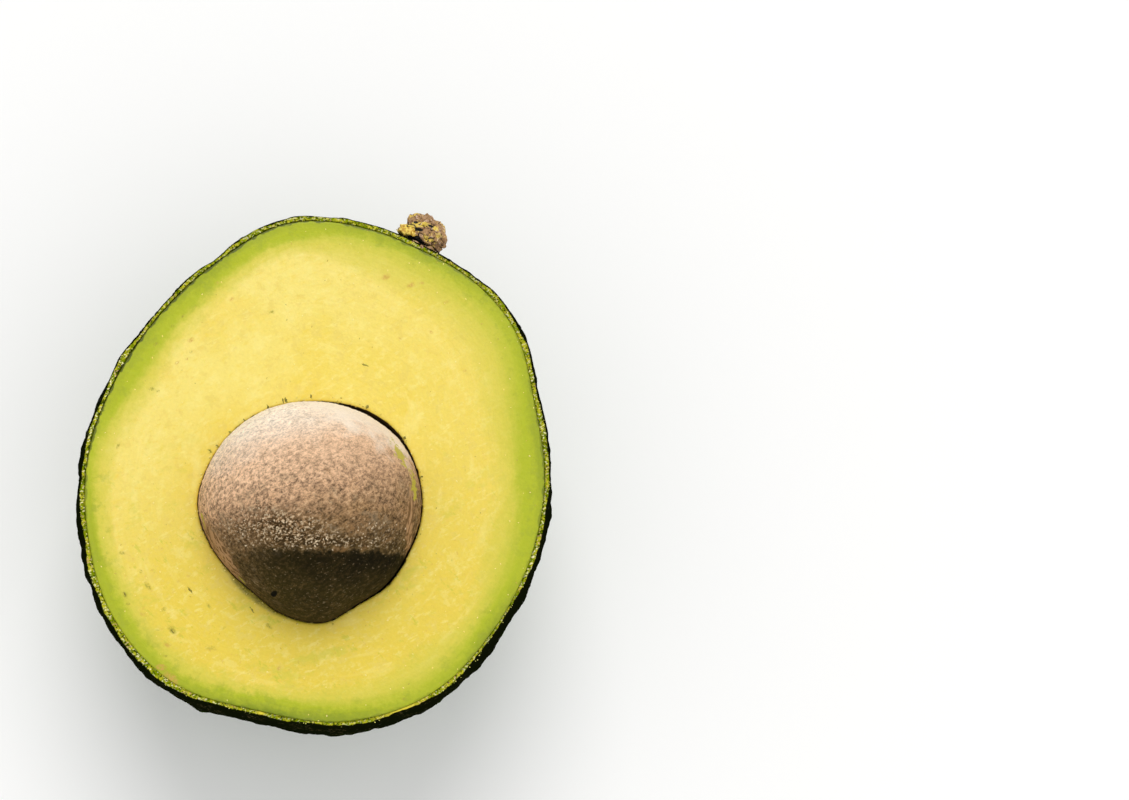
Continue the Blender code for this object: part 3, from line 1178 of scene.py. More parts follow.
@dataclass(frozen=True)
class PulpFinish:
    """Buttery yellow flesh, lime and hazy under the rind, with painted shade at the hollow's lip and on its
    coated wall.
    """

    up: Vector
    pale_way: Vector
    cut_z: float
    top_yellow: Colour = linear(244, 221, 102)
    bottom_yellow: Colour = linear(236, 210, 72)
    deep_yellow: Colour = linear(240, 212, 70)
    milky: Colour = linear(252, 237, 144)
    buff: Colour = linear(236, 212, 100)
    leaf: Colour = linear(216, 206, 68)
    lime: Colour = linear(182, 191, 16)
    moss: Colour = linear(132, 148, 0)
    dull_lime: Colour = linear(158, 168, 34)
    olive: Colour = linear(164, 154, 38)
    tan: Colour = linear(208, 164, 72)
    dark_line: Colour = linear(62, 74, 6)
    lip_shade: Colour = linear(104, 98, 22)
    coat: Colour = linear(58, 40, 12)
    wet_depth: float = 0.05 * MM
    fibre_turn: float = math.radians(50)
    streak_turn: float = math.radians(-18)

    def material(self) -> bpy.types.Material:
        """Makes the material.

        Returns:
            The material.
        """
        paint = Paint("avocado_flesh")
        depth = paint.mark(Mark.DEPTH)
        arcs = paint.grain(1.0, 3.0, 0.55, paint.round_outline(depth, 9 * MM, 1.5 * MM))
        yellow = self._yellow(paint, arcs, depth)
        edge = depth + (paint.grain(1.6 * MM, 5.0, 0.7) - 0.5) * 2.6 + (arcs - 0.5) * 2.2
        reach = (edge - paint.mark(Mark.SOLID)) / paint.mark(Mark.HAZE)
        colour = paint.mix(reach.ramp(1.2, 0.3) * 0.9, yellow, self.leaf)
        colour = paint.mix(reach.ramp(0.5, -0.15), colour, self.lime)
        colour = paint.mix(edge.ramp(2.2, 0.2) * paint.mark(Mark.MOSS), colour, self.moss)
        mottle = paint.grain(2.4 * MM, 4.0, 0.65)
        colour = paint.mix(mottle.ramp(0.52, 0.64) * edge.ramp(4.5, 2.0) * 0.4, colour, self.dull_lime)
        ragged = 0.25 + paint.grain(0.34 * MM, 3.0, 0.7).ramp(0.42, 0.58) * 0.6
        colour = paint.mix(paint.mark(Mark.OLIVE).ramp(0.05, 0.65) * ragged, colour, self.olive)
        colour = paint.mix(paint.mark(Mark.TAN).ramp(0.05, 0.65) * ragged, colour, self.tan)
        # Painted olive shade along the hollow's lower lip.
        lip = paint.mark(Mark.SEED_COAT_AND_LIP_SHADE).ramp(0.0, 0.9) * (ragged * 0.4 + 0.5)
        colour = paint.mix(lip, colour, self.lip_shade)
        dashes = (paint.grain(1.5 * MM, 2.0) - 0.5) * 1.5
        line = (depth + dashes).ramp(0.34, 0.12) * depth.ramp(0.6, 0.3) * paint.mark(Mark.LINE)
        colour = paint.mix(line * 0.85, colour, self.dark_line)
        colour = paint.shade(colour, 0.9 + paint.grain(0.4 * MM, 4.0, 0.7) * 0.16)
        # Below the lip the hollow's wall turns dark brown: its thin seed-coat film, painted darker as the
        # shade of the gap round the stone.
        torn = (paint.grain(0.9 * MM, 3.0) - 0.5) * (0.5 * MM)
        below = (paint.along(UP, UP * self.cut_z) + torn).ramp(-0.25 * MM, -0.55 * MM)
        colour = paint.mix(below * depth.ramp(6.0, 8.0), colour, self.coat)
        fine = paint.grain(0.6 * MM, 3.0)
        return paint.dress({
            "Base Color": colour,
            "Roughness": 0.34 + paint.grain(1.5 * MM) * 0.22,
            "IOR": 1.42,
            "Subsurface Weight": 0.2,
            "Subsurface Radius": (1.0, 0.7, 0.25),
            "Subsurface Scale": 1.0 * MM,
            "Normal": paint.bump(arcs, 2 * self.wet_depth, paint.bump(fine, self.wet_depth)),
        })

    def _yellow(self, paint: Paint, arcs: Wire, depth: Wire) -> Wire:
        """The yellow inside the lime band, with pale arcs, deeper clouds and a breath of green.

        Args:
            paint: the material in the making.
            arcs: noise that runs round the fruit.
            depth: distance from the rind, in millimetres.

        Returns:
            The colour.
        """
        rise = paint.along(self.up, Vector())
        yellow = paint.mix(rise.ramp(-36 * MM, 30 * MM), self.bottom_yellow, self.top_yellow)
        pale_side = paint.along(self.pale_way, Vector()).ramp(0.0, 30 * MM)
        yellow = paint.mix(pale_side * 0.4, yellow, self.milky)
        yellow = paint.mix(paint.grain(11 * MM, 3.0).ramp(0.5, 0.66) * 0.42, yellow, self.deep_yellow)
        far_off = paint.round_outline(depth, 14 * MM, 3.2 * MM)
        yellow = paint.mix(paint.grain(1.0, 3.0, 0.6, far_off).ramp(0.56, 0.7) * 0.35, yellow, self.milky)
        yellow = paint.mix(arcs.ramp(0.58, 0.74) * 0.25, yellow, self.milky)
        yellow = paint.mix(arcs.ramp(0.42, 0.28) * 0.25, yellow, self.deep_yellow)
        mottle = paint.grain(2.6 * MM, 5.0, 0.7)
        yellow = paint.mix(mottle.ramp(0.53, 0.64) * 0.3, yellow, self.milky)
        yellow = paint.mix(mottle.ramp(0.47, 0.37) * 0.6, yellow, self.buff)
        fibres = paint.grain(0.9 * MM, 4.0, 0.65, paint.stretched(self.fibre_turn, 2.6))
        yellow = paint.mix(fibres.ramp(0.56, 0.66) * 0.4, yellow, self.milky)
        yellow = paint.mix(fibres.ramp(0.44, 0.34) * 0.4, yellow, self.deep_yellow)
        green = paint.grain(3.6 * MM, 4.0, 0.65, paint.stretched(0.7, 1.8)).ramp(0.56, 0.68)
        low = rise.ramp(14 * MM, -16 * MM)
        yellow = paint.mix(green * low * 0.55, yellow, self.leaf)
        streaks = paint.grain(1.3 * MM, 4.0, 0.7, paint.stretched(self.streak_turn, 2.4))
        yellow = paint.mix(streaks.ramp(0.6, 0.68) * low * 0.35, yellow, self.lime)
        specks = paint.grain(0.8 * MM, 4.0, 0.7)
        return paint.mix(specks.ramp(0.61, 0.69) * (low * 0.3 + 0.1), yellow, self.tan)


@dataclass(frozen=True)
class StoneFinish:
    """Matt, grainy seed, painted pale towards the light, with a painted highlight and painted shade below.
    """

    up: Vector
    right: Vector
    centre: Vector
    radius: float
    grit_turn: float
    pale: Colour = linear(255, 240, 220)
    light: Colour = linear(230, 191, 155)
    rosy: Colour = linear(198, 159, 123)
    brown: Colour = linear(146, 114, 78)
    umber: Colour = linear(96, 76, 44)
    pit: Colour = linear(52, 38, 16)
    dark: Colour = linear(48, 40, 11)
    fleck: Colour = linear(238, 216, 180)
    rust: Colour = linear(146, 108, 66)
    ash: Colour = linear(178, 156, 124)
    coat: Colour = linear(186, 146, 106)
    strand: Colour = linear(96, 70, 36)
    smear: Colour = linear(196, 184, 70)
    black: Colour = linear(10, 8, 3)
    painted_light_slant: float = 0.1
    more_slant_above: float = 0.24
    painted_shade_level: float = -0.44
    painted_shade_soft: float = 0.03
    grit_width: float = 0.62 * MM
    granule_width: float = 0.42 * MM
    fine_width: float = 0.26 * MM
    roughness: float = 0.85
    shine: float = 0.08

    def material(self) -> bpy.types.Material:
        """Makes the material.

        Returns:
            The material.
        """
        paint = Paint("avocado_stone")
        scale = 1 / self.radius
        level = paint.along(self.up, self.centre) * scale
        aside = paint.along(self.right, self.centre) * scale
        blots = paint.grain(3.6 * MM, 3.0) - 0.5
        # Painted light and shade: the tone runs from pale on the side towards the light to umber away from
        # it, tilted across.
        painted_light_slant = self.painted_light_slant + level.ramp(-0.3, 0.3) * self.more_slant_above
        tone = level - aside * painted_light_slant + blots * 0.3
        ramp = paint.add("ShaderNodeValToRGB", {"stops": (
            (0.0, self.umber), (0.28, self.umber), (0.4, self.brown), (0.54, self.rosy),
            (0.74, self.light), (0.98, self.pale),
        )}, {0: tone * 0.5 + 0.5})
        drawn = paint.stretched(self.grit_turn, GRIT_DRAWN_OUT)
        grit = paint.grain(self.grit_width, 4.0, 0.8, drawn)
        crust = paint.mark(Mark.CRUST)
        stains = paint.grain(2.2 * MM, 4.0, 0.7)
        # strong grows from 0 high on the stone to 1 lower down, where the grit's contrast is painted
        # stronger, as under grazing light.
        strong = level.ramp(0.7, -0.1)
        fine = paint.grain(self.fine_width, 3.0, 0.7, drawn)
        rough = (grit.ramp(0.38, 0.62) - 0.5) * (strong * 0.6 + 0.32)
        rough = rough + (fine.ramp(0.4, 0.6) - 0.5) * 0.3
        colour = paint.shade(ramp, 1.0 + rough + (stains - 0.5) * (strong * 0.7 + 0.5))
        colour = paint.mix(grit.ramp(0.45, 0.35) * (strong * 0.3 + 0.1), colour, self.pit)
        colour = paint.mix(grit.ramp(0.56, 0.66) * 0.24, colour, self.fleck)
        colour = paint.mix(blots.ramp(0.04, 0.14) * stains.ramp(0.5, 0.6) * strong * 0.5, colour, self.rust)
        ashen = blots.ramp(-0.04, -0.14) * stains.ramp(0.55, 0.45) * strong
        colour = paint.mix(ashen * 0.3, colour, self.ash)
        # A painted highlight along the stone's upper edge.
        painted_highlight = (level + aside * 0.5 + blots * 0.5).ramp(0.8, 1.02)
        colour = paint.mix(painted_highlight * 0.75, colour, self.pale)
        granules = paint.grain(self.granule_width, 3.0, 0.6, drawn)
        # Dark and pale granules on the crust: a pale crust, partly painted with the light and shade that
        # grazing light gives its grains.
        colour = paint.mix(granules.ramp(0.55, 0.46) * crust * 0.95, colour, self.pit)
        colour = paint.mix(granules.ramp(0.56, 0.62) * crust * 0.85, colour, self.fleck)
        colour = self._coats(paint, colour)
        # Painted shade over the stone's lower part: a dark band with a soft, ragged upper edge, lighter to
        # the left and fading out at the far left.
        edge = level + blots * 0.2 + (paint.grain(1.0 * MM, 3.0) - 0.5) * 0.14
        dark = paint.mix(grit.ramp(0.46, 0.66) * 0.55, self.dark, self.umber)
        near_left = aside.ramp(0.1, -0.45) * 0.45
        dark = paint.shade(dark, 0.42 + level.ramp(-0.5, -0.85) * 0.75 + near_left + blots * 1.1)
        dark = paint.mix(granules.ramp(0.62, 0.68) * 0.35, dark, self.ash)
        shade_edge = edge.ramp(self.painted_shade_level + self.painted_shade_soft, self.painted_shade_level - self.painted_shade_soft)
        colour = paint.mix(shade_edge * (aside + blots * 0.5).ramp(-0.8, -0.2), colour, dark)
        spot = (paint.mark(Mark.SPOT) + (stains - 0.5) * 0.5).ramp(0.35, 0.5)
        colour = paint.mix(spot, colour, self.black)
        bumps = paint.bump(grit, 0.34 * MM, paint.bump(paint.grain(1.4 * MM, 3.0), 0.14 * MM))
        return paint.dress({
            "Base Color": colour,
            "Roughness": self.roughness,
            "Specular IOR Level": self.shine,
            "Normal": bumps,
        })

    def _coats(self, paint: Paint, colour: Wire) -> Wire:
        """Adds what is left of the seed coat: thin brown skins with dark strands, and smears of flesh.

        Args:
            paint: the material in the making.
            colour: the bare stone's colour.

        Returns:
            The colour with the coats on it.
        """
        ragged = (paint.grain(0.9 * MM, 3.0) - 0.5) * 0.9
        strands = paint.grain(0.55 * MM, 2.0, place=paint.stretched(math.atan2(self.up.y, self.up.x), 6.0))
        coat = paint.mix(strands.ramp(0.52, 0.4) * 0.8, self.coat, self.strand)
        colour = paint.mix((paint.mark(Mark.SEED_COAT_AND_LIP_SHADE) + ragged).ramp(0.35, 0.65), colour, coat)
        return paint.mix((paint.mark(Mark.SMEAR) + ragged).ramp(0.42, 0.56) * 0.9, colour, self.smear)


@dataclass(frozen=True)
class PlainFinish:
    """A finish for small things: two tones in soft blots, and a fine grain."""

    name: str
    tone: Colour
    other: Colour
    blot: float
    roughness: float
    grain: float = 0.3 * MM
    depth: float = 0.04 * MM
    shine: float = 0.5

    def material(self) -> bpy.types.Material:
        """Makes the material.

        Returns:
            The material.
        """
        paint = Paint(self.name)
        colour = paint.mix(paint.grain(self.blot, 3.0).ramp(0.4, 0.6), self.tone, self.other)
        return paint.dress({
            "Base Color": colour,
            "Roughness": self.roughness + (paint.grain(self.blot) - 0.5) * 0.1,
            "Specular IOR Level": self.shine,
            "Normal": paint.bump(paint.grain(self.grain, 3.0), self.depth),
        })


def show(piece: bpy.types.Object, slot: str, *nodes: str) -> None:
    """Lets a finished piece ride on the body, in the place of the nodes that it stands for.

    Args:
        piece: the finished object.
        slot: the name of the material slot; not used.
        nodes: the plain solids whose place it takes, if any.
    """
    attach(piece, BODY)
    if nodes:
        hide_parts(*nodes)
    LOG.info("%s: %d faces", piece.name, len(piece.data.polygons))


@dataclass
class Peel:
    """The skin: its pebbled outside, its cut edge and its smooth inner side."""

    form: FruitForm
    stub_foot: Vector
    up: Vector
    outer_rings: int = 140
    outer_flat_rings: int = 17
    inner_rings: int = 30
    inner_flat_rings: int = 4
    swell_height: float = 0.5 * MM
    swell_width: float = 5.2 * MM
    fine_swell_share: float = 0.35
    flat_fade: float = 4.0 * MM
    rim_fade: float = 1.5 * MM
    relief_rim_fade: float = 4.5 * MM
    smooth_round_stub: float = 4.0 * MM
    stub_fade: float = 8.0 * MM
    edge_points: int = 1680
    edge_round: float = 0.1 * MM
    edge_insets_mm: tuple[float, ...] = (0.05, 0.16, 0.29, 0.42, 0.55, 0.69, 0.84)
    edge_rough: float = 0.17 * MM
    edge_grain: float = 0.42 * MM
    clump_width: float = 2.4 * MM
    clump_usual: float = 0.45
    clump_contrast: float = 1.6
    pore_foot: float = 1.6 * MM
    pore_free_rim: float = 0.6 * MM
    # How much of the cut edge's outer side is painted black as shade, by angle.
    black_share: Outline = Outline((
        0.35, 0.25, 0.2, 0.15, 0.3, 0.15, 0.12, 0.14, 0.18,
        0.14, 0.25, 0.28, 0.2, 0.25, 0.4, 0.45, 0.35, 0.6,
    ))
    inner_line: Outline = Outline((
        0.3, 0.6, 0.4, 0.3, 0.6, 0.7, 0.9, 0.95, 1.0, 0.95, 0.8, 0.3, 0.15, 0.2, 0.35, 0.35, 0.25, 0.3,
    ))
    # Share of painted glints (highlights) on the cut edge, by angle.
    paleness: Outline = Outline((
        0.9, 0.6, 0.8, 0.5, 0.4, 0.4, 0.5, 0.5, 0.45, 1.0, 0.8, 0.8, 0.6, 0.75, 0.4, 0.35, 0.7, 0.5,
    ))
    bare_spots_degrees: tuple[tuple[float, float], ...] = ((313.0, 4.5), (281.0, 0.9))
    relief: Relief = Relief(
        ((2.3 * MM, 0.6 * MM), (1.15 * MM, 0.28 * MM), (0.6 * MM, 0.1 * MM)), 3.6 * MM, 0.36 * MM
    )
    pores: Strewn = Strewn(
        "peel_pores", Mark.OUTSIDE, Grain.CRATER, 2.0 * MM, 0.1, 0.9 * MM, 0.45, 1.15, 0.5, seed=7
    )
    crumbs: Strewn = Strewn(
        "rind_crumbs", Mark.CRUMBLY, Grain.DOME, 0.2 * MM, 4.0, 0.23 * MM, 0.35, 1.5, 0.8, seed=11, sides=6
    )

    def build(self) -> bpy.types.Object:
        """Makes the skin with its pores and crumbs.

        Returns:
            The skin.
        """
        draft = Draft()
        outside = draft.disc(self.outer_rings, self._outer_rule())
        last = outside
        for inset_mm in self.edge_insets_mm:
            ring = draft.ring(self._edge_point(index, inset_mm * MM) for index in range(self.edge_points))
            if last is outside:
                draft.join(ring, last)
            else:
                draft.band(last, ring)
            last = ring
        flat_share = self.inner_flat_rings / self.inner_rings
        inner_rule = self.form.rule(self.form.skin_thickness, flat_share, self.form.cut_z - self.edge_round)
        draft.join(last, draft.disc(self.inner_rings, inner_rule))
        edge_start, edge_end = outside[-1] + 1, last[-1]
        piece = draft.finish("peel")
        self._mark(piece.data, edge_start, edge_end)
        self.relief.raise_on(piece, PeelFinish(self.up).material())
        show(piece, "skin", "skin")
        pore = PlainFinish("peel_pore", linear(9, 12, 3), linear(26, 30, 8), 0.5 * MM, 0.8, shine=0.03)
        show(self.pores.grow(piece, pore.material()), "skin")
        crumb = PlainFinish("rind_crumb", linear(236, 226, 120), linear(112, 128, 8), 0.3 * MM, 0.4)
        show(self.crumbs.grow(piece, crumb.material()), "skin")
        return piece

    def _outer_rule(self) -> PlaceRule:
        """The underside with its soft swells, which fade at the flat spot, the rim and the stub.

        Returns:
            A rule from a share of the disc's reach and an angle to a point.
        """
        flat_share = self.outer_flat_rings / self.outer_rings
        place = self.form.rule(0.0, flat_share, self.form.cut_z - self.edge_round)

        def swollen(share: float, angle: float) -> Vector:
            """The point with its swell."""
            point = place(share, angle)
            return point + self._swell(point) if point.z > 0 else point

        return swollen

    def _swell(self, point: Vector) -> Vector:
        """How far the soft swells move a point of the outside.

        Args:
            point: a point of the mesh.

        Returns:
            The move.
        """
        height = noise.noise(point / self.swell_width)
        height += self.fine_swell_share * noise.noise(point * 2 / self.swell_width)
        lift = (point - self.form.middle).normalized() * self.swell_height * height
        lift *= min(1.0, point.z / self.flat_fade) * self._stub_fade(point)
        lift.z *= min(1.0, max(0.0, (self.form.cut_z - point.z) / self.rim_fade))
        return lift

    def _stub_fade(self, point: Vector) -> float:
        """0 close round the stub, 1 away from it."""
        distance = (point - self.stub_foot).length - self.smooth_round_stub
        return min(1.0, max(0.0, distance / self.stub_fade))

    def _edge_point(self, index: int, inset: float) -> Vector:
        """A point of the cut edge's top, roughened by grains.

        Args:
            index: the point's number round the edge.
            inset: distance from the outer surface.

        Returns:
            The point.
        """
        angle = math.tau * index / self.edge_points
        share = inset / self.form.skin_thickness
        point = self.form.point(angle, self.form.slope_at(self.form.cut_z, inset), inset)
        point += self._swell(point) * (1 - share)
        rough = noise.noise(point / self.edge_grain) + 0.5 * noise.noise(point * 2.3 / self.edge_grain)
        outward = Vector((math.cos(angle), math.sin(angle), 0.0))
        ragged = noise.noise(point / (2 * self.edge_grain) + RAGGED_SHIFT)
        point += UP * (self.edge_rough * rough)
        return point + outward * (self.edge_rough * 0.5 * ragged)

    def _mark(self, mesh: bpy.types.Mesh, edge_start: int, edge_end: int) -> None:
        """Marks the outside, the cut edge with its own colours, and how far the relief may go.

        Args:
            mesh: the skin's mesh.
            edge_start: the number of the cut edge's first point.
            edge_end: the number of its last point.
        """
        by_angle = {Mark.BLACK: self.black_share, Mark.LINE: self.inner_line, Mark.PALE: self.paleness}
        kinds = (Mark.RIND, Mark.RELIEF, Mark.OUTSIDE, Mark.CRUMBLY, Mark.BARE, *by_angle)
        rows: dict[Mark, list[float]] = {mark: [] for mark in kinds}
        for number, vertex in enumerate(mesh.vertices):
            point = vertex.co
            outside = number < edge_start
            ring = (number - edge_start) // self.edge_points
            on_edge = edge_start <= number <= edge_end
            angle = math.atan2(point.y, point.x)
            bare = self._bare(angle) if on_edge else 0.0
            across = self.edge_insets_mm[ring] * MM / self.form.skin_thickness if on_edge else 0.0
            below_rim = self.form.cut_z - self.edge_round - point.z
            fade = min(1.0, max(0.0, below_rim / self.relief_rim_fade))
            fade *= min(1.0, max(0.0, point.z / self.flat_fade))
            rows[Mark.RIND].append(across if on_edge or outside else 1.0)
            rows[Mark.RELIEF].append(fade * self._stub_fade(point) if outside else 0.0)
            porous = outside and point.z > self.pore_foot and below_rim > self.pore_free_rim
            rows[Mark.OUTSIDE].append(float(porous))
            clump = self.clump_usual + self.clump_contrast * noise.noise(point / self.clump_width)
            rows[Mark.CRUMBLY].append(float(on_edge and 0 < ring) * (1 - bare) * min(1.0, max(0.0, clump)))
            rows[Mark.BARE].append(bare)
            for mark, outline in by_angle.items():
                rows[mark].append(outline.value(angle) if on_edge else 0.0)
        for mark, values in rows.items():
            mesh.attributes.new(mark.value, "FLOAT", "POINT").data.foreach_set("value", values)

    def _bare(self, angle: float) -> float:
        """How far the rind is worn away at an angle, so that flesh reaches the outside."""
        spots = self.bare_spots_degrees
        return max(angle_hump(angle, math.radians(middle), math.radians(width)) for middle, width in spots)


@dataclass(frozen=True)
class Fibre:
    """A short dark thread in the cut face, where a pixel of the photograph shows it, turned by degrees."""

    across_px: float
    down_px: float
    length_mm: float = 1.0
    width_mm: float = 0.32
    turn: float | None = None


def tan(
    across_px: float, down_px: float, size_mm: float, turn: float = 0.0, strength: float = 0.7
) -> Smudge:
    """A soft tan stain in the flesh, a little longer than wide, turned by degrees."""
    return Smudge(Mark.TAN, across_px, down_px, size_mm, TAN_SLIMNESS * size_mm, turn, strength)


def olive(
    across_px: float, down_px: float, size_mm: float, turn: float = 0.0, strength: float = 0.9
) -> Smudge:
    """A short olive stain in the flesh, much longer than wide, turned by degrees."""
    return Smudge(Mark.OLIVE, across_px, down_px, size_mm, OLIVE_SLIMNESS * size_mm, turn, strength)


def lip_shade(
    across_px: float, down_px: float, size_mm: float, turn: float, strength: float = 1.0
) -> Smudge:
    """A piece of the olive shade along the hollow's lip, much longer than wide, turned by degrees."""
    return Smudge(Mark.SEED_COAT_AND_LIP_SHADE, across_px, down_px, size_mm, OLIVE_SLIMNESS * size_mm, turn, strength)


@dataclass
class Pulp:
    """The flesh: its cut face, the stone's hollow and its hidden back."""

    form: FruitForm
    stone: StoneForm
    sight: Sight
    around: int = 720
    face_rings: int = 84
    hollow_rings: int = 54
    hollow_top: float = math.radians(87.5)
    back_rings: int = 26
    back_flat_rings: int = 3
    skin_gap: float = 0.03 * MM
    edge_insets_mm: tuple[tuple[float, float], ...] = ((0.0, 0.12), (0.02, 0.03), (0.08, 0.0))
    wave_height: float = 0.07 * MM
    wave_width: float = 9.0 * MM
    lip_insets_mm: tuple[tuple[float, float], ...] = ((0.3, 0.0), (0.1, 0.06), (0.0, 0.22))
    lip_ragged: float = 0.16 * MM
    lip_grain: float = 1.1 * MM
    lip_width: float = 0.9 * MM
    lip_height: float = 0.25 * MM
    face_tolerance: float = 0.09 * MM
    stain_depth: float = 1.0 * MM
    thread_flatness: float = 0.6
    solid_mm: Outline = Outline((
        2.6, 4.0, 2.7, 1.6, 1.3, 1.2, 2.5, 2.5, 2.9, 2.8, 0.5, 1.2, 1.9, 1.3, 2.4, 2.0, 1.5, 2.2,
    ))
    haze_mm: Outline = Outline((
        6.2, 4.6, 7.0, 8.6, 7.8, 7.2, 3.4, 3.4, 3.4, 4.0, 4.4, 3.2, 3.6, 4.0, 2.0, 4.4, 6.4, 4.2,
    ))
    inner_line: Outline = Peel.inner_line
    moss: Outline = Outline((
        0.15, 0.55, 0.4, 0.2, 0.4, 0.4, 0.3, 0.6, 0.45, 0.25, 0.0, 0.3, 0.2, 0.3, 0.95, 0.75, 0.2, 0.65,
    ))
    smudges: tuple[Smudge, ...] = (
        tan(161, 667, 1.5, 0, 1.3), tan(171, 679, 2.6, -42, 1.2), tan(386, 277, 1.8, 20),
        tan(411, 285, 1.6, 25), tan(422, 283, 1.0), tan(374, 305, 2.0, 60, 0.3),
        tan(411, 317, 1.2, 80, 0.4), tan(431, 332, 0.9, -60, 0.8), tan(400, 339, 1.0, -40, 0.6),
        tan(365, 312, 1.4, 60, 0.3), tan(366, 251, 1.2, 0, 0.35), tan(465, 371, 0.9, 0, 0.6),
        tan(446, 302, 1.8, 20, 0.4), tan(232, 299, 1.2, 50, 0.6), tan(191, 340, 1.3, 20, 0.8),
        tan(187, 359, 0.7, 0, 0.7), tan(177, 363, 1.1, 40, 0.6), tan(217, 283, 1.0, 20, 0.6),
        tan(235, 349, 1.3, 45, 0.4), tan(320, 247, 2.2, 0, 0.3), tan(295, 327, 2.4, 30, 0.25),
        tan(143, 614, 1.6, -30, 0.5), tan(167, 645, 1.4, -30, 0.6), tan(279, 668, 1.0, 60),
        tan(213, 649, 2.2, 0, 0.3), tan(179, 581, 1.4, 20, 0.4), tan(257, 672, 1.6, -20, 0.3),
        tan(120, 520, 1.4, 70, 0.3), olive(191, 352, 0.7), olive(152, 389, 1.1), olive(158, 391, 0.7),
        olive(272, 312, 1.1), olive(183, 316, 0.9, 30), olive(172, 326, 0.8), olive(156, 344, 1.2, 25),
        olive(122, 553, 1.1), olive(141, 572, 0.8, 70), olive(148, 586, 1.6, -50),
        olive(125, 595, 1.3, -65, 0.9), olive(128, 604, 0.8, 0, 0.9), olive(164, 609, 1.1, 45),
        olive(157, 630, 0.8, 0, 0.6), olive(172, 630, 2.0, -50), olive(209, 606, 1.3, -50, 0.6),
        olive(269, 626, 1.4, -40), olive(224, 628, 1.3, 30, 0.4), olive(165, 656, 0.9),
        olive(211, 648, 2.6, 0, 0.45), olive(127, 662, 2.6, -60, 0.4), olive(404, 724, 3.0, 30, 0.6),
        olive(417, 716, 2.0, 40, 0.6), olive(404, 699, 0.9, 0, 0.8), olive(118, 446, 1.0, 60),
        olive(290, 381, 0.9, -50, 0.4), olive(452, 560, 0.9, 80, 0.5), olive(465, 470, 0.8, 90, 0.4),
        lip_shade(235, 580, 2.6, -52, 0.7), lip_shade(245, 590, 2.8, -45, 0.9),
        lip_shade(258, 600, 3.0, -38, 0.9), lip_shade(272, 609, 3.0, -30, 0.9),
        lip_shade(288, 615, 3.2, -22, 0.9), lip_shade(306, 619, 3.2, -12, 0.9),
        lip_shade(324, 621, 2.8, 0, 0.6), lip_shade(225, 569, 2.0, -56, 0.5),
    )
    fibres: tuple[Fibre, ...] = (
        Fibre(190, 590, 1.5, 0.24, -53), Fibre(252, 610, 1.4, 0.24, -55), Fibre(365, 365, 1.3, 0.2, -20),
        Fibre(125, 594, 0.9, 0.2, -65), Fibre(172, 631, 1.1, 0.18, -50), Fibre(210, 451), Fibre(231, 433),
        Fibre(245, 421), Fibre(268, 407), Fibre(283, 401), Fibre(286, 400), Fibre(311, 396, 0.8, 0.3),
        Fibre(367, 407, 0.8, 0.34), Fibre(404, 438), Fibre(421, 477, 0.8, 0.26), Fibre(238, 428, 0.6),
        Fibre(217, 446, 0.6),
    )
    specks: Strewn = Strewn(
        "flesh_specks", Mark.CUT, Grain.DOME, 2.2 * MM, 0.022, 0.16 * MM, 0.4, 2.8, 0.3, seed=3, sides=6
    )
    beads: Strewn = Strewn(
        "flesh_beads", Mark.CUT, Grain.DOME, 1.0 * MM, 0.06, 0.24 * MM, 0.35, 1.7, 0.42, seed=5, sides=6
    )
    lip_crumbs: Strewn = Strewn(
        "lip_crumbs", Mark.LIP, Grain.DOME, 0.26 * MM, 2.6, 0.3 * MM, 0.35, 1.5, 0.8, seed=13, sides=6
    )

    def build(self) -> bpy.types.Object:
        """Makes the flesh with its specks, beads, crumbs and threads.

        Returns:
            The flesh.
        """
        draft = Draft()
        inset = self.form.skin_thickness + self.skin_gap
        flat_share = self.back_flat_rings / self.back_rings
        below = self.edge_insets_mm[0][1] * MM
        back = draft.disc(self.back_rings, self.form.rule(inset, flat_share, self.form.cut_z - below * 2))
        rings = [
            draft.ring(self._edge_point(index, inset + off * MM, drop * MM) for index in range(self.around))
            for off, drop in self.edge_insets_mm
        ]
        start = [draft.points[number].copy() for number in rings[-1]]
        lip = [self._lip_point(index, self.lip_insets_mm[0]) for index in range(self.around)]
        for step in range(1, self.face_rings):
            share = step / self.face_rings
            rings.append(draft.ring(self._waved(a.lerp(b, share)) for a, b in zip(start, lip)))
        for spot in self.lip_insets_mm:
            rings.append(draft.ring(self._lip_point(index, spot) for index in range(self.around)))
        draft.join(rings[0], back)
        for first, second in zip(rings, rings[1:]):
            draft.band(first, second)
        draft.join(rings[-1], draft.disc(self.hollow_rings, self._hollow_rule()))
        piece = draft.finish("pulp", {
            Mark.DEPTH: self._depth_mm,
            Mark.SOLID: lambda point: self.solid_mm.value(math.atan2(point.y, point.x)),
            Mark.HAZE: lambda point: self.haze_mm.value(math.atan2(point.y, point.x)),
            Mark.MOSS: lambda point: self.moss.value(math.atan2(point.y, point.x)),
            Mark.LINE: lambda point: self.inner_line.value(math.atan2(point.y, point.x)),
            Mark.CUT: lambda point: float(abs(point.z - self.form.cut_z) < self.face_tolerance),
            Mark.LIP: self._lip_share,
        })
        level = self.form.cut_z
        floor = level - self.stain_depth
        stain(piece.data, self.sight, self.smudges, lambda x, y: self.sight.on_level(x, y, level), floor)
        pale_way = (self.sight.up - self.sight.right).normalized()
        piece.data.materials.append(PulpFinish(self.sight.up, pale_way, level).material())
        show(piece, "flesh", "flesh")
        speck = PlainFinish("flesh_fibre", linear(206, 176, 64), linear(176, 160, 54), 0.6 * MM, 0.45)
        show(self.specks.grow(piece, speck.material()), "flesh")
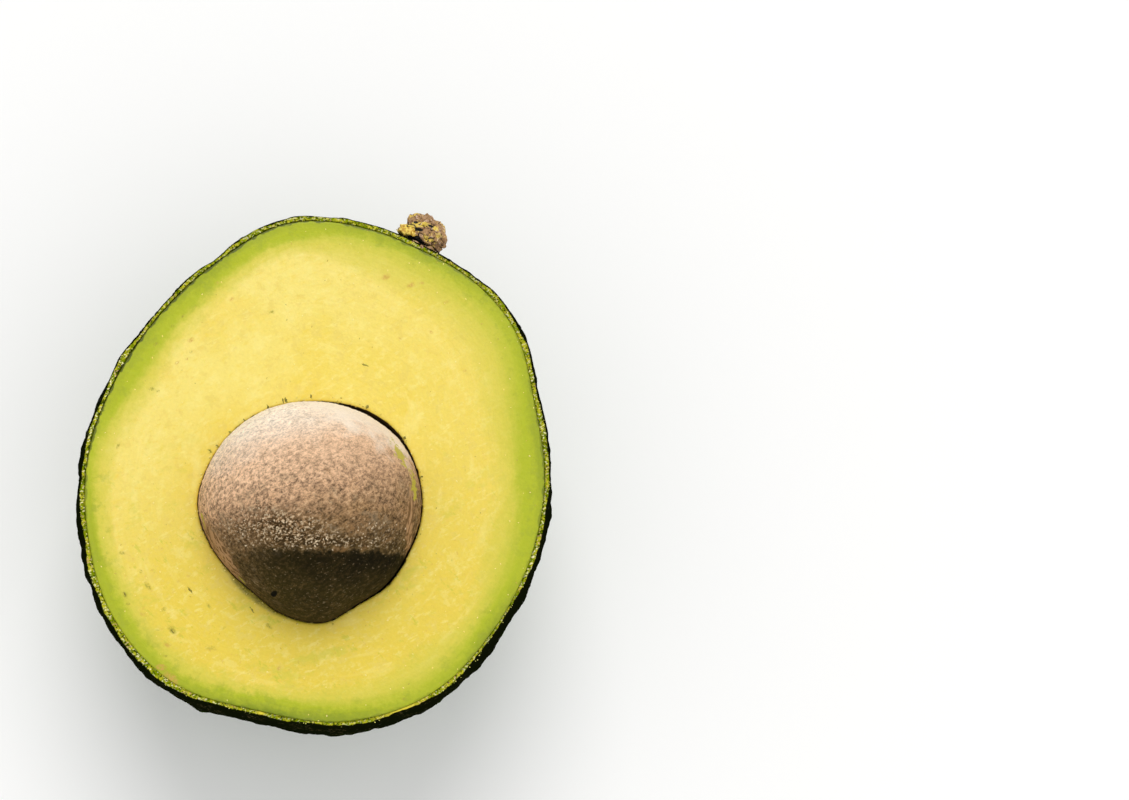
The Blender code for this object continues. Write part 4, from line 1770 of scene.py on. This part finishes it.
        # Small pale beads on the cut face: wet crumbs, their pale colour partly a painted glint.
        bead = PlainFinish("flesh_bead", linear(253, 238, 150), linear(246, 226, 110), 0.8 * MM, 0.3)
        show(self.beads.grow(piece, bead.material()), "flesh")
        crumb = PlainFinish("flesh_crumb", linear(248, 232, 136), linear(190, 170, 44), 0.4 * MM, 0.45)
        show(self.lip_crumbs.grow(piece, crumb.material()), "flesh")
        self._threads()
        return piece

    def _threads(self) -> None:
        """Makes the dark threads: those at the hollow's lip point away from the stone."""
        draft = Draft()
        for fibre in self.fibres:
            middle = self.sight.on_level(fibre.across_px, fibre.down_px, self.form.cut_z)
            if fibre.turn is None:
                way = (middle - self.stone.centre).normalized()
            else:
                way = Matrix.Rotation(math.radians(fibre.turn), 3, "Z") @ self.sight.right
            width = fibre.width_mm * MM
            size = Vector((fibre.length_mm * MM, width, self.thread_flatness * width))
            add_lump(draft, middle, way, size, THREAD_ROUGHNESS)
        piece = draft.finish("flesh_threads")
        finish = PlainFinish("flesh_thread", linear(158, 148, 44), linear(112, 104, 20), 0.5 * MM, 0.5)
        piece.data.materials.append(finish.material())
        show(piece, "flesh")

    def _edge_point(self, index: int, inset: float, drop: float) -> Vector:
        """A point of the face's rounded outer edge."""
        height = self.form.cut_z - drop
        return self.form.point(math.tau * index / self.around, self.form.slope_at(height, inset), inset)

    def _waved(self, point: Vector) -> Vector:
        """A point of the face, a little up or down, as the knife left it."""
        wave = noise.noise(point / self.wave_width) + 0.4 * noise.noise(point * 3 / self.wave_width)
        return point + Vector((0.0, 0.0, self.wave_height * wave))

    def _lip_point(self, index: int, spot_mm: tuple[float, float]) -> Vector:
        """A point of the hollow's rounded, slightly torn lip.

        Args:
            index: the point's number round the lip.
            spot_mm: how far it lies from the hollow's wall, and under the face.

        Returns:
            The point.
        """
        angle = math.tau * index / self.around
        off, drop = spot_mm
        growth = self.stone.hollow_reach(angle, 1.0) + off * MM
        point = self.stone.point(StoneSide.TOP, math.pi / 2, angle, growth)
        torn = noise.noise(point / self.lip_grain) + 0.6 * noise.noise(point * 2.7 / self.lip_grain)
        point += (point - self.stone.centre).normalized() * max(0.0, self.lip_ragged * torn)
        return point - Vector((0.0, 0.0, drop * MM))

    def _hollow_rule(self) -> PlaceRule:
        """The bowl that the stone sits in.

        Returns:
            A rule from a share of the disc's reach and an angle to a point.
        """
        def place(share: float, angle: float) -> Vector:
            """The point of the bowl for a spot of the disc."""
            growth = self.stone.hollow_reach(angle, share)
            return self.stone.point(StoneSide.BOTTOM, share * self.hollow_top, angle, growth)

        return place

    def _depth_mm(self, point: Vector) -> float:
        """How far a point lies inside the rind, in millimetres."""
        edge = self.form.cut_radius(math.atan2(point.y, point.x))
        return (edge - math.hypot(point.x, point.y)) / MM

    def _lip_share(self, point: Vector) -> float:
        """1 at the lip of the hollow, fading to 0 a little way from it.

        Args:
            point: a point of the mesh.

        Returns:
            The share, from 0 to 1.
        """
        off = point - self.stone.centre
        if off.z < -self.lip_height:
            return 0.0
        angle = math.atan2(off.y, off.x)
        lip = self.stone.girth.radius(angle) + self.stone.hollow_reach(angle, 1.0)
        return min(1.0, max(0.0, 1 - (math.hypot(off.x, off.y) - lip) / self.lip_width))


@dataclass
class Seed:
    """The stone: a grainy ball, half in its hollow."""

    form: StoneForm
    sight: Sight
    top_rings: int = 150
    bottom_rings: int = 50
    bottom_top: float = math.radians(88.5)
    dimple_height: float = 0.18 * MM
    dimple_width: float = 7.0 * MM
    grit_turn: float = math.radians(53)
    dimple_fade: float = 8.0
    grit: tuple[tuple[float, float], ...] = (
        (1.7 * MM, 0.26 * MM), (0.75 * MM, 0.26 * MM), (0.36 * MM, 0.2 * MM),
    )
    more_on_crust: float = 0.6
    less_on_coat: float = 0.75
    smudges: tuple[Smudge, ...] = (
        Smudge(Mark.CRUST, 286, 526, 13, 5.6, -8, 0.95),
        Smudge(Mark.CRUST, 335, 541, 22, 1.7, 0.0, 0.6),
        Smudge(Mark.CRUST, 380, 530, 9, 3.4, 0.0, 0.4),
        Smudge(Mark.CRUST, 240, 529, 8, 4.6, 0.0, 0.3),
        Smudge(Mark.SEED_COAT_AND_LIP_SHADE, 221, 552, 15, 2.6, -58),
        Smudge(Mark.SEED_COAT_AND_LIP_SHADE, 410, 520, 18, 2.0, 88, 0.75),
        Smudge(Mark.SEED_COAT_AND_LIP_SHADE, 372, 598, 11, 1.1, 33, 0.7),
        Smudge(Mark.SMEAR, 399, 455, 9, 2.6, -60, 0.66),
        Smudge(Mark.SMEAR, 414, 493, 6, 1.6, -86, 0.62),
        Smudge(Mark.SMEAR, 241, 577, 3.0, 0.3, -48, 0.7),
        Smudge(Mark.SMEAR, 203, 520, 4.0, 0.35, -76, 0.8),
        Smudge(Mark.SMEAR, 366, 602, 5, 0.5, 28, 0.7),
        Smudge(Mark.SPOT, 274, 593, 1.1, 0.9),
    )
    crust: Strewn = Strewn(
        "stone_crust", Mark.CRUST, Grain.DOME, 0.3 * MM, 3.4, 0.32 * MM, 0.35, 1.9, 0.6, seed=19, sides=6
    )

    def build(self) -> bpy.types.Object:
        """Makes the stone and the pale crust that clings to it.

        Returns:
            The stone.
        """
        draft = Draft()
        top = draft.disc(self.top_rings, self._rule(StoneSide.TOP, math.pi / 2))
        draft.join(top, draft.disc(self.bottom_rings, self._rule(StoneSide.BOTTOM, self.bottom_top)))
        piece = draft.finish("seed")
        centre, radius = self.form.centre, self.form.round_radius
        strengths = stain(
            piece.data,
            self.sight,
            self.smudges,
            lambda x, y: self.sight.on_ball(x, y, centre, radius),
            centre.z,
        )
        relief = 1 + self.more_on_crust * strengths[Mark.CRUST] - self.less_on_coat * strengths[Mark.SEED_COAT_AND_LIP_SHADE]
        piece.data.attributes.new(Mark.RELIEF.value, "FLOAT", "POINT").data.foreach_set("value", relief)
        finish = StoneFinish(self.sight.up, self.sight.right, centre, radius, self.grit_turn)
        Relief(self.grit, turn=self.grit_turn, drawn_out=GRIT_DRAWN_OUT).raise_on(piece, finish.material())
        show(piece, "stone", "stone")
        crumb = PlainFinish("stone_crumb", linear(226, 204, 168), linear(120, 94, 60), 0.35 * MM, 0.85)
        show(self.crust.grow(piece, crumb.material()), "stone")
        return piece

    def _rule(self, side: StoneSide, last_slope: float) -> PlaceRule:
        """Half of the stone with its shallow dimples.

        Args:
            side: the half above or below the cut face.
            last_slope: the slope at the disc's edge.

        Returns:
            A rule from a share of the disc's reach and an angle to a point.
        """
        def place(share: float, angle: float) -> Vector:
            """The point of the stone for a spot of the disc.

            Args:
                share: share of the disc's reach.
                angle: angle from +X, in radians.

            Returns:
                The point.
            """
            offset = self.form.point(side, share * last_slope, angle) - self.form.centre
            dimple = self.dimple_height * noise.noise(offset / self.dimple_width)
            fade = min(1.0, self.dimple_fade * (1 - share))
            return self.form.centre + offset * (1 + dimple / offset.length * fade)

        return place


@dataclass(frozen=True)
class BarkFinish:
    """Knobbly brown bark with dark pits, painted highlights on its knobs, painted shade in its cracks, and
    golden scars.
    """

    body: Colour = linear(184, 142, 96)
    pit: Colour = linear(44, 32, 10)
    ridge: Colour = linear(248, 218, 196)
    gold: Colour = linear(250, 218, 92)
    black: Colour = linear(14, 12, 3)

    def material(self) -> bpy.types.Material:
        """Makes the material.

        Returns:
            The material.
        """
        paint = Paint("stalk_bark")
        knobs = paint.grain(0.7 * MM, 5.0, 0.75)
        fine = paint.grain(0.35 * MM, 3.0)
        torn = (fine - 0.5) * 0.8
        scars = paint.grain(1.8 * MM, 4.0, 0.7) + torn * 0.5
        colour = paint.mix(scars.ramp(0.56, 0.62) * 0.7, self.body, self.gold)
        colour = paint.mix((paint.mark(Mark.SMEAR) + torn).ramp(0.3, 0.5), colour, self.gold)
        # Painted highlight on the tops of the knobs.
        colour = paint.mix(knobs.ramp(0.54, 0.64) * 0.8, colour, self.ridge)
        colour = paint.mix(knobs.ramp(0.45, 0.34), colour, self.pit)
        # Painted shade in the cracks, and a painted black shadow in the hole and deep cracks.
        colour = paint.mix(paint.mark(Mark.CREVICE).ramp(0.35, 0.8) * 0.9, colour, self.pit)
        colour = paint.mix((paint.mark(Mark.SPOT) + torn * 0.6).ramp(0.3, 0.5), colour, self.black)
        return paint.dress({
            "Base Color": colour,
            "Roughness": 0.6 + knobs * 0.3,
            "Normal": paint.bump(knobs, 0.35 * MM, paint.bump(fine, 0.12 * MM)),
        })


@dataclass(frozen=True)
class Shard:
    """A torn scrap at the stub's foot, where a pixel of the photograph shows it, turned by degrees."""

    across_px: float
    down_px: float
    level_mm: float
    size_mm: tuple[float, float, float]
    turn: float


@dataclass
class StalkStub:
    """The knobbly brown remnant of the stalk, rooted through the skin, with torn scraps at its foot."""

    form: FruitForm
    sight: Sight
    below_cut: float = 4.0 * MM
    profile_mm: tuple[tuple[float, float], ...] = (
        (-2.2, 0.01), (-2.15, 1.6), (-0.9, 2.0), (0.2, 2.0), (0.35, 3.6), (1.2, 3.85),
        (2.4, 3.7), (3.5, 3.2), (4.4, 2.4), (4.95, 1.4), (5.05, 0.01),
    )
    around: int = 160
    rings: int = 130
    knobs_mm: tuple[tuple[float, float], ...] = ((1.7, 0.8), (0.8, 0.4), (0.4, 0.2))
    knobs_foot: float = 0.3 * MM
    heart: float = 1.6 * MM
    aside: float = -0.6 * MM
    crack_width: float = 1.3 * MM
    crack_sharpness: float = 7.0
    crack_depth: float = 0.35 * MM
    smudges: tuple[Smudge, ...] = (
        Smudge(Mark.SMEAR, 418, 223.5, 4.4, 1.1, 2),
        Smudge(Mark.SMEAR, 436, 228, 1.4, 0.9, -30, 0.8),
        Smudge(Mark.SMEAR, 429, 238, 2.4, 1.0, -20, 0.75),
        Smudge(Mark.SMEAR, 406, 231, 3.4, 1.6, -10),
        # The black spots are painted shadow in the stub's hole and deep cracks.
        Smudge(Mark.SPOT, 416, 221, 0.8, 0.6, 0.0, 1.2),
        Smudge(Mark.SPOT, 407, 226.5, 1.8, 0.5, -5),
        Smudge(Mark.SPOT, 418, 229, 2.0, 0.7, -10),
        Smudge(Mark.SPOT, 431, 225, 1.2, 0.5, -20),
        Smudge(Mark.SPOT, 413, 237, 2.2, 1.0, -10, 1.2),
        Smudge(Mark.SPOT, 424, 244, 3.2, 0.8, -38, 1.2),
    )
    golden_scraps: tuple[Shard, ...] = (
        Shard(406, 231, 44.3, (3.4, 1.3, 0.8), -8),
        Shard(402, 228, 44.0, (1.7, 0.8, 0.7), 50),
        Shard(414, 233.5, 44.4, (1.6, 0.7, 0.6), -25),
    )
    bark_scraps: tuple[Shard, ...] = (
        Shard(417, 245, 44.5, (5.0, 0.8, 0.8), -21),
        Shard(430, 249.5, 44.4, (2.6, 0.7, 0.7), -24),
        Shard(404, 239, 44.3, (1.6, 0.7, 0.6), -30),
    )

    @property
    def place(self) -> Matrix:
        """The stalk's place: its own +Z points out of the fruit.

        Returns:
            The matrix from the stalk's own frame to the model's.
        """
        angle = self.form.stalk_angle
        outward = Vector((math.cos(angle), math.sin(angle), 0.0))
        foot = outward * self.form.radius(angle, math.pi / 2) + self.sight.right * self.aside
        foot.z = self.form.cut_z - self.below_cut
        return Matrix.Translation(foot) @ outward.to_track_quat("Z", "Y").to_matrix().to_4x4()

    def build(self) -> bpy.types.Object:
        """Makes the stub with its scraps.

        Returns:
            The stub.
        """
        draft = Draft()
        crevices: list[float] = []
        rings = [draft.ring(self._spots(step, crevices)) for step in range(self.rings + 1)]
        for first, second in zip(rings, rings[1:]):
            draft.band(first, second)
        for end, edge in ((0, rings[0]), (-1, rings[-1])):
            draft.cap(edge, self.place @ Vector((0.0, 0.0, self.profile_mm[end][0] * MM)))
            crevices.append(0.0)
        piece = draft.finish("stalk_stub")
        layer = piece.data.attributes.new(Mark.CREVICE.value, "FLOAT", "POINT")
        layer.data.foreach_set("value", crevices)
        level = self.form.cut_z
        stain(piece.data, self.sight, self.smudges, lambda x, y: self.sight.on_level(x, y, level), 0.0)
        bark = BarkFinish().material()
        piece.data.materials.append(bark)
        show(piece, "stem_stub", "stem_stub")
        pale, dark = linear(246, 218, 96), linear(196, 148, 44)
        gold = PlainFinish("torn_stalk", pale, dark, 0.5 * MM, 0.42, depth=0.12 * MM)
        self._scraps("stalk_splinters", self.golden_scraps, gold.material())
        self._scraps("stalk_bark_flakes", self.bark_scraps, bark)
        return piece

    def _scraps(self, name: str, shards: tuple[Shard, ...], material: bpy.types.Material) -> None:
        """Makes the torn scraps of one finish.

        Args:
            name: the piece's name.
            shards: the scraps, fused in one piece.
            material: their material.
        """
        draft = Draft()
        for shard in shards:
            middle = self.sight.on_level(shard.across_px, shard.down_px, shard.level_mm * MM)
            way = Matrix.Rotation(math.radians(shard.turn), 3, "Z") @ self.sight.right
            add_lump(draft, middle, way, Vector(shard.size_mm) * MM, SCRAP_ROUGHNESS)
        piece = draft.finish(name)
        piece.data.materials.append(material)
        show(piece, "stem_stub")

    def _spots(self, step: int, crevices: list[float]) -> Iterable[Vector]:
        """The points of one ring along the profile, each with how deep it lies in a crack.

        Args:
            step: the ring's number from the root up.
            crevices: the list that gets each point's depth in a crack.

        Returns:
            The points, one by one.
        """
        spot = step / self.rings * (len(self.profile_mm) - 1)
        index = min(int(spot), len(self.profile_mm) - 2)
        share = spot - index
        height, radius = (
            (a + (b - a) * share) * MM for a, b in zip(self.profile_mm[index], self.profile_mm[index + 1])
        )
        for number in range(self.around):
            angle = math.tau * number / self.around
            point = Vector((radius * math.cos(angle), radius * math.sin(angle), height))
            crack = 0.0
            if height > self.knobs_foot:
                knob = sum(size * MM * noise.noise(point / (width * MM)) for width, size in self.knobs_mm)
                ridge = abs(noise.noise(point / self.crack_width + CRACK_SHIFT))
                crack = max(0.0, 1 - self.crack_sharpness * ridge)
                outward = (point - Vector((0.0, 0.0, self.heart))).normalized()
                point += outward * (knob - self.crack_depth * crack)
            crevices.append(crack)
            yield self.place @ point


@dataclass(frozen=True)
class Lamp:
    """A soft, even light from far off: where it stands, how strong it is and how wide it looks."""

    name: str
    aside: float
    elevation: float
    strength: float
    width: float
    colour: Colour


@dataclass(frozen=True)
class Studio:
    """The camera, the pale floor and the soft lights."""

    sight: Sight
    floor_radius: float = 6.0
    floor_sides: int = 96
    floor_colour: Colour = (0.98, 0.98, 0.975)
    lamps: tuple[Lamp, ...] = (
        Lamp("key", 0.0, math.radians(52), 1.2, math.radians(36), (1.0, 0.99, 0.97)),
        Lamp("fill", math.radians(-115), math.radians(62), 0.32, math.radians(60), (0.98, 0.99, 1.0)),
    )
    sky: float = 0.66

    def build(self) -> None:
        """Sets the camera, the floor, the lights and the sky."""
        camera = bpy.data.objects.new("camera", bpy.data.cameras.new("camera"))
        camera.data.lens = self.sight.lens_mm
        camera.data.sensor_width = self.sight.sensor_mm
        camera.data.clip_start = 10 * MM
        camera.matrix_world = self.sight.matrix()
        bpy.context.scene.collection.objects.link(camera)
        bpy.context.scene.camera = camera
        bpy.context.scene.view_settings.view_transform = "Standard"
        self._floor()
        for lamp in self.lamps:
            self._light(lamp)
        world = bpy.data.worlds.new("sky")
        bpy.context.scene.world = world
        world.use_nodes = True
        world.node_tree.nodes["Background"].inputs["Color"].default_value = (1.0, 1.0, 1.0, 1.0)
        world.node_tree.nodes["Background"].inputs["Strength"].default_value = self.sky

    def _floor(self) -> None:
        """The round floor, which isn't part of the object."""
        draft = Draft()
        angles = [math.tau * step / self.floor_sides for step in range(self.floor_sides)]
        rim = (Vector((math.cos(angle), math.sin(angle), 0.0)) for angle in angles)
        edge = draft.ring(spot * self.floor_radius for spot in rim)
        draft.cap(edge, Vector())
        floor = draft.finish("floor")
        paint = Paint("pale_floor")
        floor.data.materials.append(paint.dress({"Base Color": self.floor_colour, "Roughness": 0.9}))
        floor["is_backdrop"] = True

    def _light(self, lamp: Lamp) -> None:
        """A light that shines on the half from one side, a turn away from the picture's top.

        Args:
            lamp: what the light is like.
        """
        data = bpy.data.lights.new(lamp.name, "SUN")
        data.angle = lamp.width
        data.energy = lamp.strength
        data.color = lamp.colour
        side = Matrix.Rotation(lamp.aside, 3, "Z") @ self.sight.up
        outward = side * math.cos(lamp.elevation) + UP * math.sin(lamp.elevation)
        light = bpy.data.objects.new(lamp.name, data)
        light.location = self.sight.middle + outward
        light.rotation_euler = outward.to_track_quat("Z", "Y").to_euler()
        bpy.context.scene.collection.objects.link(light)


def main() -> None:
    """Builds the half piece by piece, then the studio."""
    logging.basicConfig(level=logging.INFO, format="%(name)s: %(message)s")
    sight = Sight()
    fruit = FruitForm()
    stone = StoneForm()
    stub = StalkStub(fruit, sight)
    Peel(fruit, stub.place.translation, sight.up).build()
    Pulp(fruit, stone, sight).build()
    Seed(stone, sight).build()
    stub.build()
    Studio(sight).build()
    boxes = {"cad": CAD_BOX, "visual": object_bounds()}
    sizes = {name: [list(corner) for corner in box] for name, box in boxes.items()}


if __name__ == "__main__":
    main()
